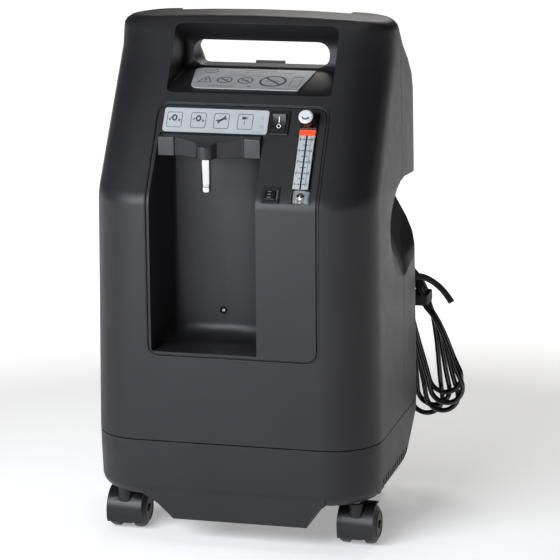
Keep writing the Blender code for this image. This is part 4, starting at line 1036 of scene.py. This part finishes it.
def strap_band():
    """A woven band bulging over the strands, rounded in section."""
    outline = []
    centre = ((0.1422 + 0.1724) / 2, (0.1562 + 0.1941) / 2)
    half = (0.0146, 0.0186)
    for step in range(56):
        a = 2 * math.pi * step / 56
        cos, sin = math.cos(a), math.sin(a)
        swell = 1.0 + 0.018 * math.sin(7 * a)
        power = 0.42
        outline.append((centre[0] + half[0] * swell * math.copysign(abs(cos) ** power, cos),
                        centre[1] + half[1] * swell * math.copysign(abs(sin) ** power, sin), a))
    section = [(-1.0, 0.15), (-0.94, 0.75), (-0.6, 1.0), (0.0, 1.08), (0.6, 1.0), (0.94, 0.75), (1.0, 0.15),
               (0.9, -0.6), (0.0, -0.7), (-0.9, -0.6)]
    bm = bmesh.new()
    rings = []
    for px, py, a in outline:
        out = Vector((px - centre[0], py - centre[1], 0)).normalized()
        lift = 0.0009 * math.sin(2 * a + 0.6)
        places = [(px, py, STRAP_Z + lift + STRAP_HALF * w) for w, _ in section]
        ring = [Vector(place) + out * (STRAP_THICK / 2 * t) for place, (_, t) in zip(places, section)]
        rings.append([bm.verts.new(point) for point in ring])
    for ring, after in zip(rings, rings[1:] + rings[:1]):
        for k in range(len(section)):
            j = (k + 1) % len(section)
            bm.faces.new((ring[k], after[k], after[j], ring[j]))
    band = mesh_piece("strap_band", bm, STRAP, smooth=True)
    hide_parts("cord_strap")
    return band


TAIL_ROUTE = [
    (0.1535, 0.1560, 0.2340), (0.1472, 0.1557, 0.2420), (0.1440, 0.1557, 0.2500),
    (0.1438, 0.1557, 0.2575), (0.1480, 0.1557, 0.2635), (0.1560, 0.1557, 0.2668),
    (0.1655, 0.1557, 0.2668), (0.1760, 0.1557, 0.2630), (0.1870, 0.1557, 0.2555),
    (0.1960, 0.1557, 0.2460), (0.2030, 0.1557, 0.2360),
]
TAIL_HALF, TAIL_HALF_THICK = 0.0046, 0.0008


def strap_tail():
    """The strap's free end, arching up from the band and down to the right, seen on its flat side."""
    line, _ = evenly(TAIL_ROUTE, 0.003)
    section = [(-1.0, 0.0), (-0.92, 0.8), (0.0, 1.0), (0.92, 0.8),
               (1.0, 0.0), (0.92, -0.8), (0.0, -1.0), (-0.92, -0.8)]
    bm = bmesh.new()
    rings = []
    for i, point in enumerate(line):
        way = (line[min(i + 1, len(line) - 1)] - line[max(i - 1, 0)]).normalized()
        across = Vector((-way.z, 0.0, way.x))
        out = Vector((0.0, -1.0, 0.0))
        twist = 0.30 * math.sin(2.2 * i / len(line))
        cos, sin = math.cos(twist), math.sin(twist)
        wide, thick = across * cos + out * sin, out * cos - across * sin
        ring = [point + wide * (TAIL_HALF * w) + thick * (TAIL_HALF_THICK * t) for w, t in section]
        rings.append([bm.verts.new(place) for place in ring])
    for ring, after in zip(rings, rings[1:]):
        for k in range(len(section)):
            j = (k + 1) % len(section)
            bm.faces.new((ring[k], after[k], after[j], ring[j]))
    bm.faces.new(rings[0])
    bm.faces.new(rings[-1])
    tail = mesh_piece("strap_tail", bm, STRAP, smooth=True)
    return tail


strap = strap_band()
tail = strap_tail()


# ---- plug and strain relief
def plug_grips():
    """Finger ridges on both sides of the plug."""
    low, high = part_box("power_plug")
    middle = (low + high) / 2
    bm = bmesh.new()
    for side in (-1, 1):
        for rib in range(5):
            z = 0.2075 + 0.0042 * rib
            x = 0.1040 + side * 0.0110
            inner, outer = sorted((x - side * 0.0006, x + side * 0.0009))
            corners = [(inner, middle.y - 0.0062), (outer, middle.y - 0.0052), (outer, middle.y + 0.0052),
                       (inner, middle.y + 0.0062)]
            slab(bm, corners, z, z + 0.0020)
    grips = mesh_piece("plug_grip_ridges", bm, CORD_PVC)
    return grips


def relief_rings():
    """Flexing rings moulded round the strain relief's taper."""
    bm = bmesh.new()
    for ring in range(6):
        at = 0.0085 + 0.0040 * ring
        radius = 0.0070 - 0.0020 * (at - 0.006) / 0.028
        inner, outer = radius - 0.0004, radius + 0.0008
        profile = [(inner, at - 0.0010), (outer, at - 0.0007), (outer, at + 0.0007), (inner, at + 0.0010)]
        turns = []
        for step in range(24):
            a = 2 * math.pi * step / 24
            turns.append([bm.verts.new((r * math.cos(a), h, r * math.sin(a))) for r, h in profile])
        for ring_now, after in zip(turns, turns[1:] + turns[:1]):
            for k in range(4):
                bm.faces.new((ring_now[k], after[k], after[(k + 1) % 4], ring_now[(k + 1) % 4]))
    rings = mesh_piece("strain_relief_rings", bm, RUBBER_BLACK, matrix=Matrix.Translation(RELIEF_AT))
    return rings


grips = plug_grips()
rings = relief_rings()


# ---- studio
DIM_STUDIO, PALE_COVE = 0.15, 1.15
COVE_DIRECTION = (-0.62, 0.78, 0.0)


def softbox(name, azimuth, elevation, distance, size, power, tint=(1.0, 1.0, 1.0), height=0.32):
    """A rectangular light aimed at the cabinet. Azimuth 0 is in front, positive to the viewer's right."""
    a, e = math.radians(azimuth), math.radians(elevation)
    aim = Vector((0.0, 0.0, height))
    out = Vector((math.sin(a) * math.cos(e), -math.cos(a) * math.cos(e), math.sin(e)))
    data = bpy.data.lights.new(name, "AREA")
    data.shape = "RECTANGLE"
    data.size, data.size_y = size
    data.energy = power
    data.color = tint
    light = bpy.data.objects.new(name, data)
    light.location = aim + out * distance
    light.rotation_euler = (-out).to_track_quat("-Z", "Y").to_euler()
    bpy.context.scene.collection.objects.link(light)


def studio():
    bm = bmesh.new()
    bmesh.ops.create_grid(bm, x_segments=1, y_segments=1, size=12.0)
    mesh = bpy.data.meshes.new("floor")
    bm.to_mesh(mesh)
    bm.free()
    look = Look("glowing_floor_paper", 0.7)
    look.colour(look.mixed(look.ramp(look.noise(3.0), 0.0, 1.0), (0.88, 0.88, 0.88), (0.91, 0.91, 0.91)))
    look.bump(look.noise(300.0), 0.0002)
    # The floor glows: painted light, its emission dim within 0.65 m of the origin and rising to full past
    # 1.35 m, so the floor round the cabinet is darker than further out.
    look.set(Emission_Color=(1.0, 1.0, 1.0, 1.0))
    distance = look.node("ShaderNodeVectorMath", operation="LENGTH")
    look.link(look.place, distance.inputs[0])
    glow = look.ramp(distance.outputs["Value"], 0.34, 1.08, 0.65, 1.35)
    look.link(glow, look.shader.inputs["Emission Strength"])
    mesh.materials.append(look.material)
    floor = bpy.data.objects.new("floor", mesh)
    bpy.context.scene.collection.objects.link(floor)
    make_world()
    bpy.context.scene.view_settings.view_transform = "Standard"
    softbox("front_strip", -20, 13, 1.25, (0.9, 0.40), 21, (0.92, 0.95, 1.0), 0.40)
    softbox("rear_box", 178, 42, 1.6, (0.9, 0.5), 9, (1.0, 0.98, 0.94))
    softbox("top_box", 0, 80, 2.2, (1.6, 1.2), 8)


def make_world():
    """A pale cove behind the object that falls to a dim studio in front of it."""
    world = bpy.data.worlds.new("studio")
    world.use_nodes = True
    tree = world.node_tree
    place = tree.nodes.new("ShaderNodeTexCoord").outputs["Generated"]
    toward_cove = tree.nodes.new("ShaderNodeVectorMath")
    toward_cove.operation = "DOT_PRODUCT"
    toward_cove.inputs[1].default_value = COVE_DIRECTION
    level = tree.nodes.new("ShaderNodeMapRange")
    for key, value in (("From Min", 0.1), ("From Max", 0.9), ("To Min", DIM_STUDIO), ("To Max", PALE_COVE)):
        level.inputs[key].default_value = value
    tree.links.new(place, toward_cove.inputs[0])
    tree.links.new(toward_cove.outputs["Value"], level.inputs["Value"])
    tree.links.new(level.outputs["Result"], tree.nodes["Background"].inputs["Strength"])
    bpy.context.scene.world = world


studio()
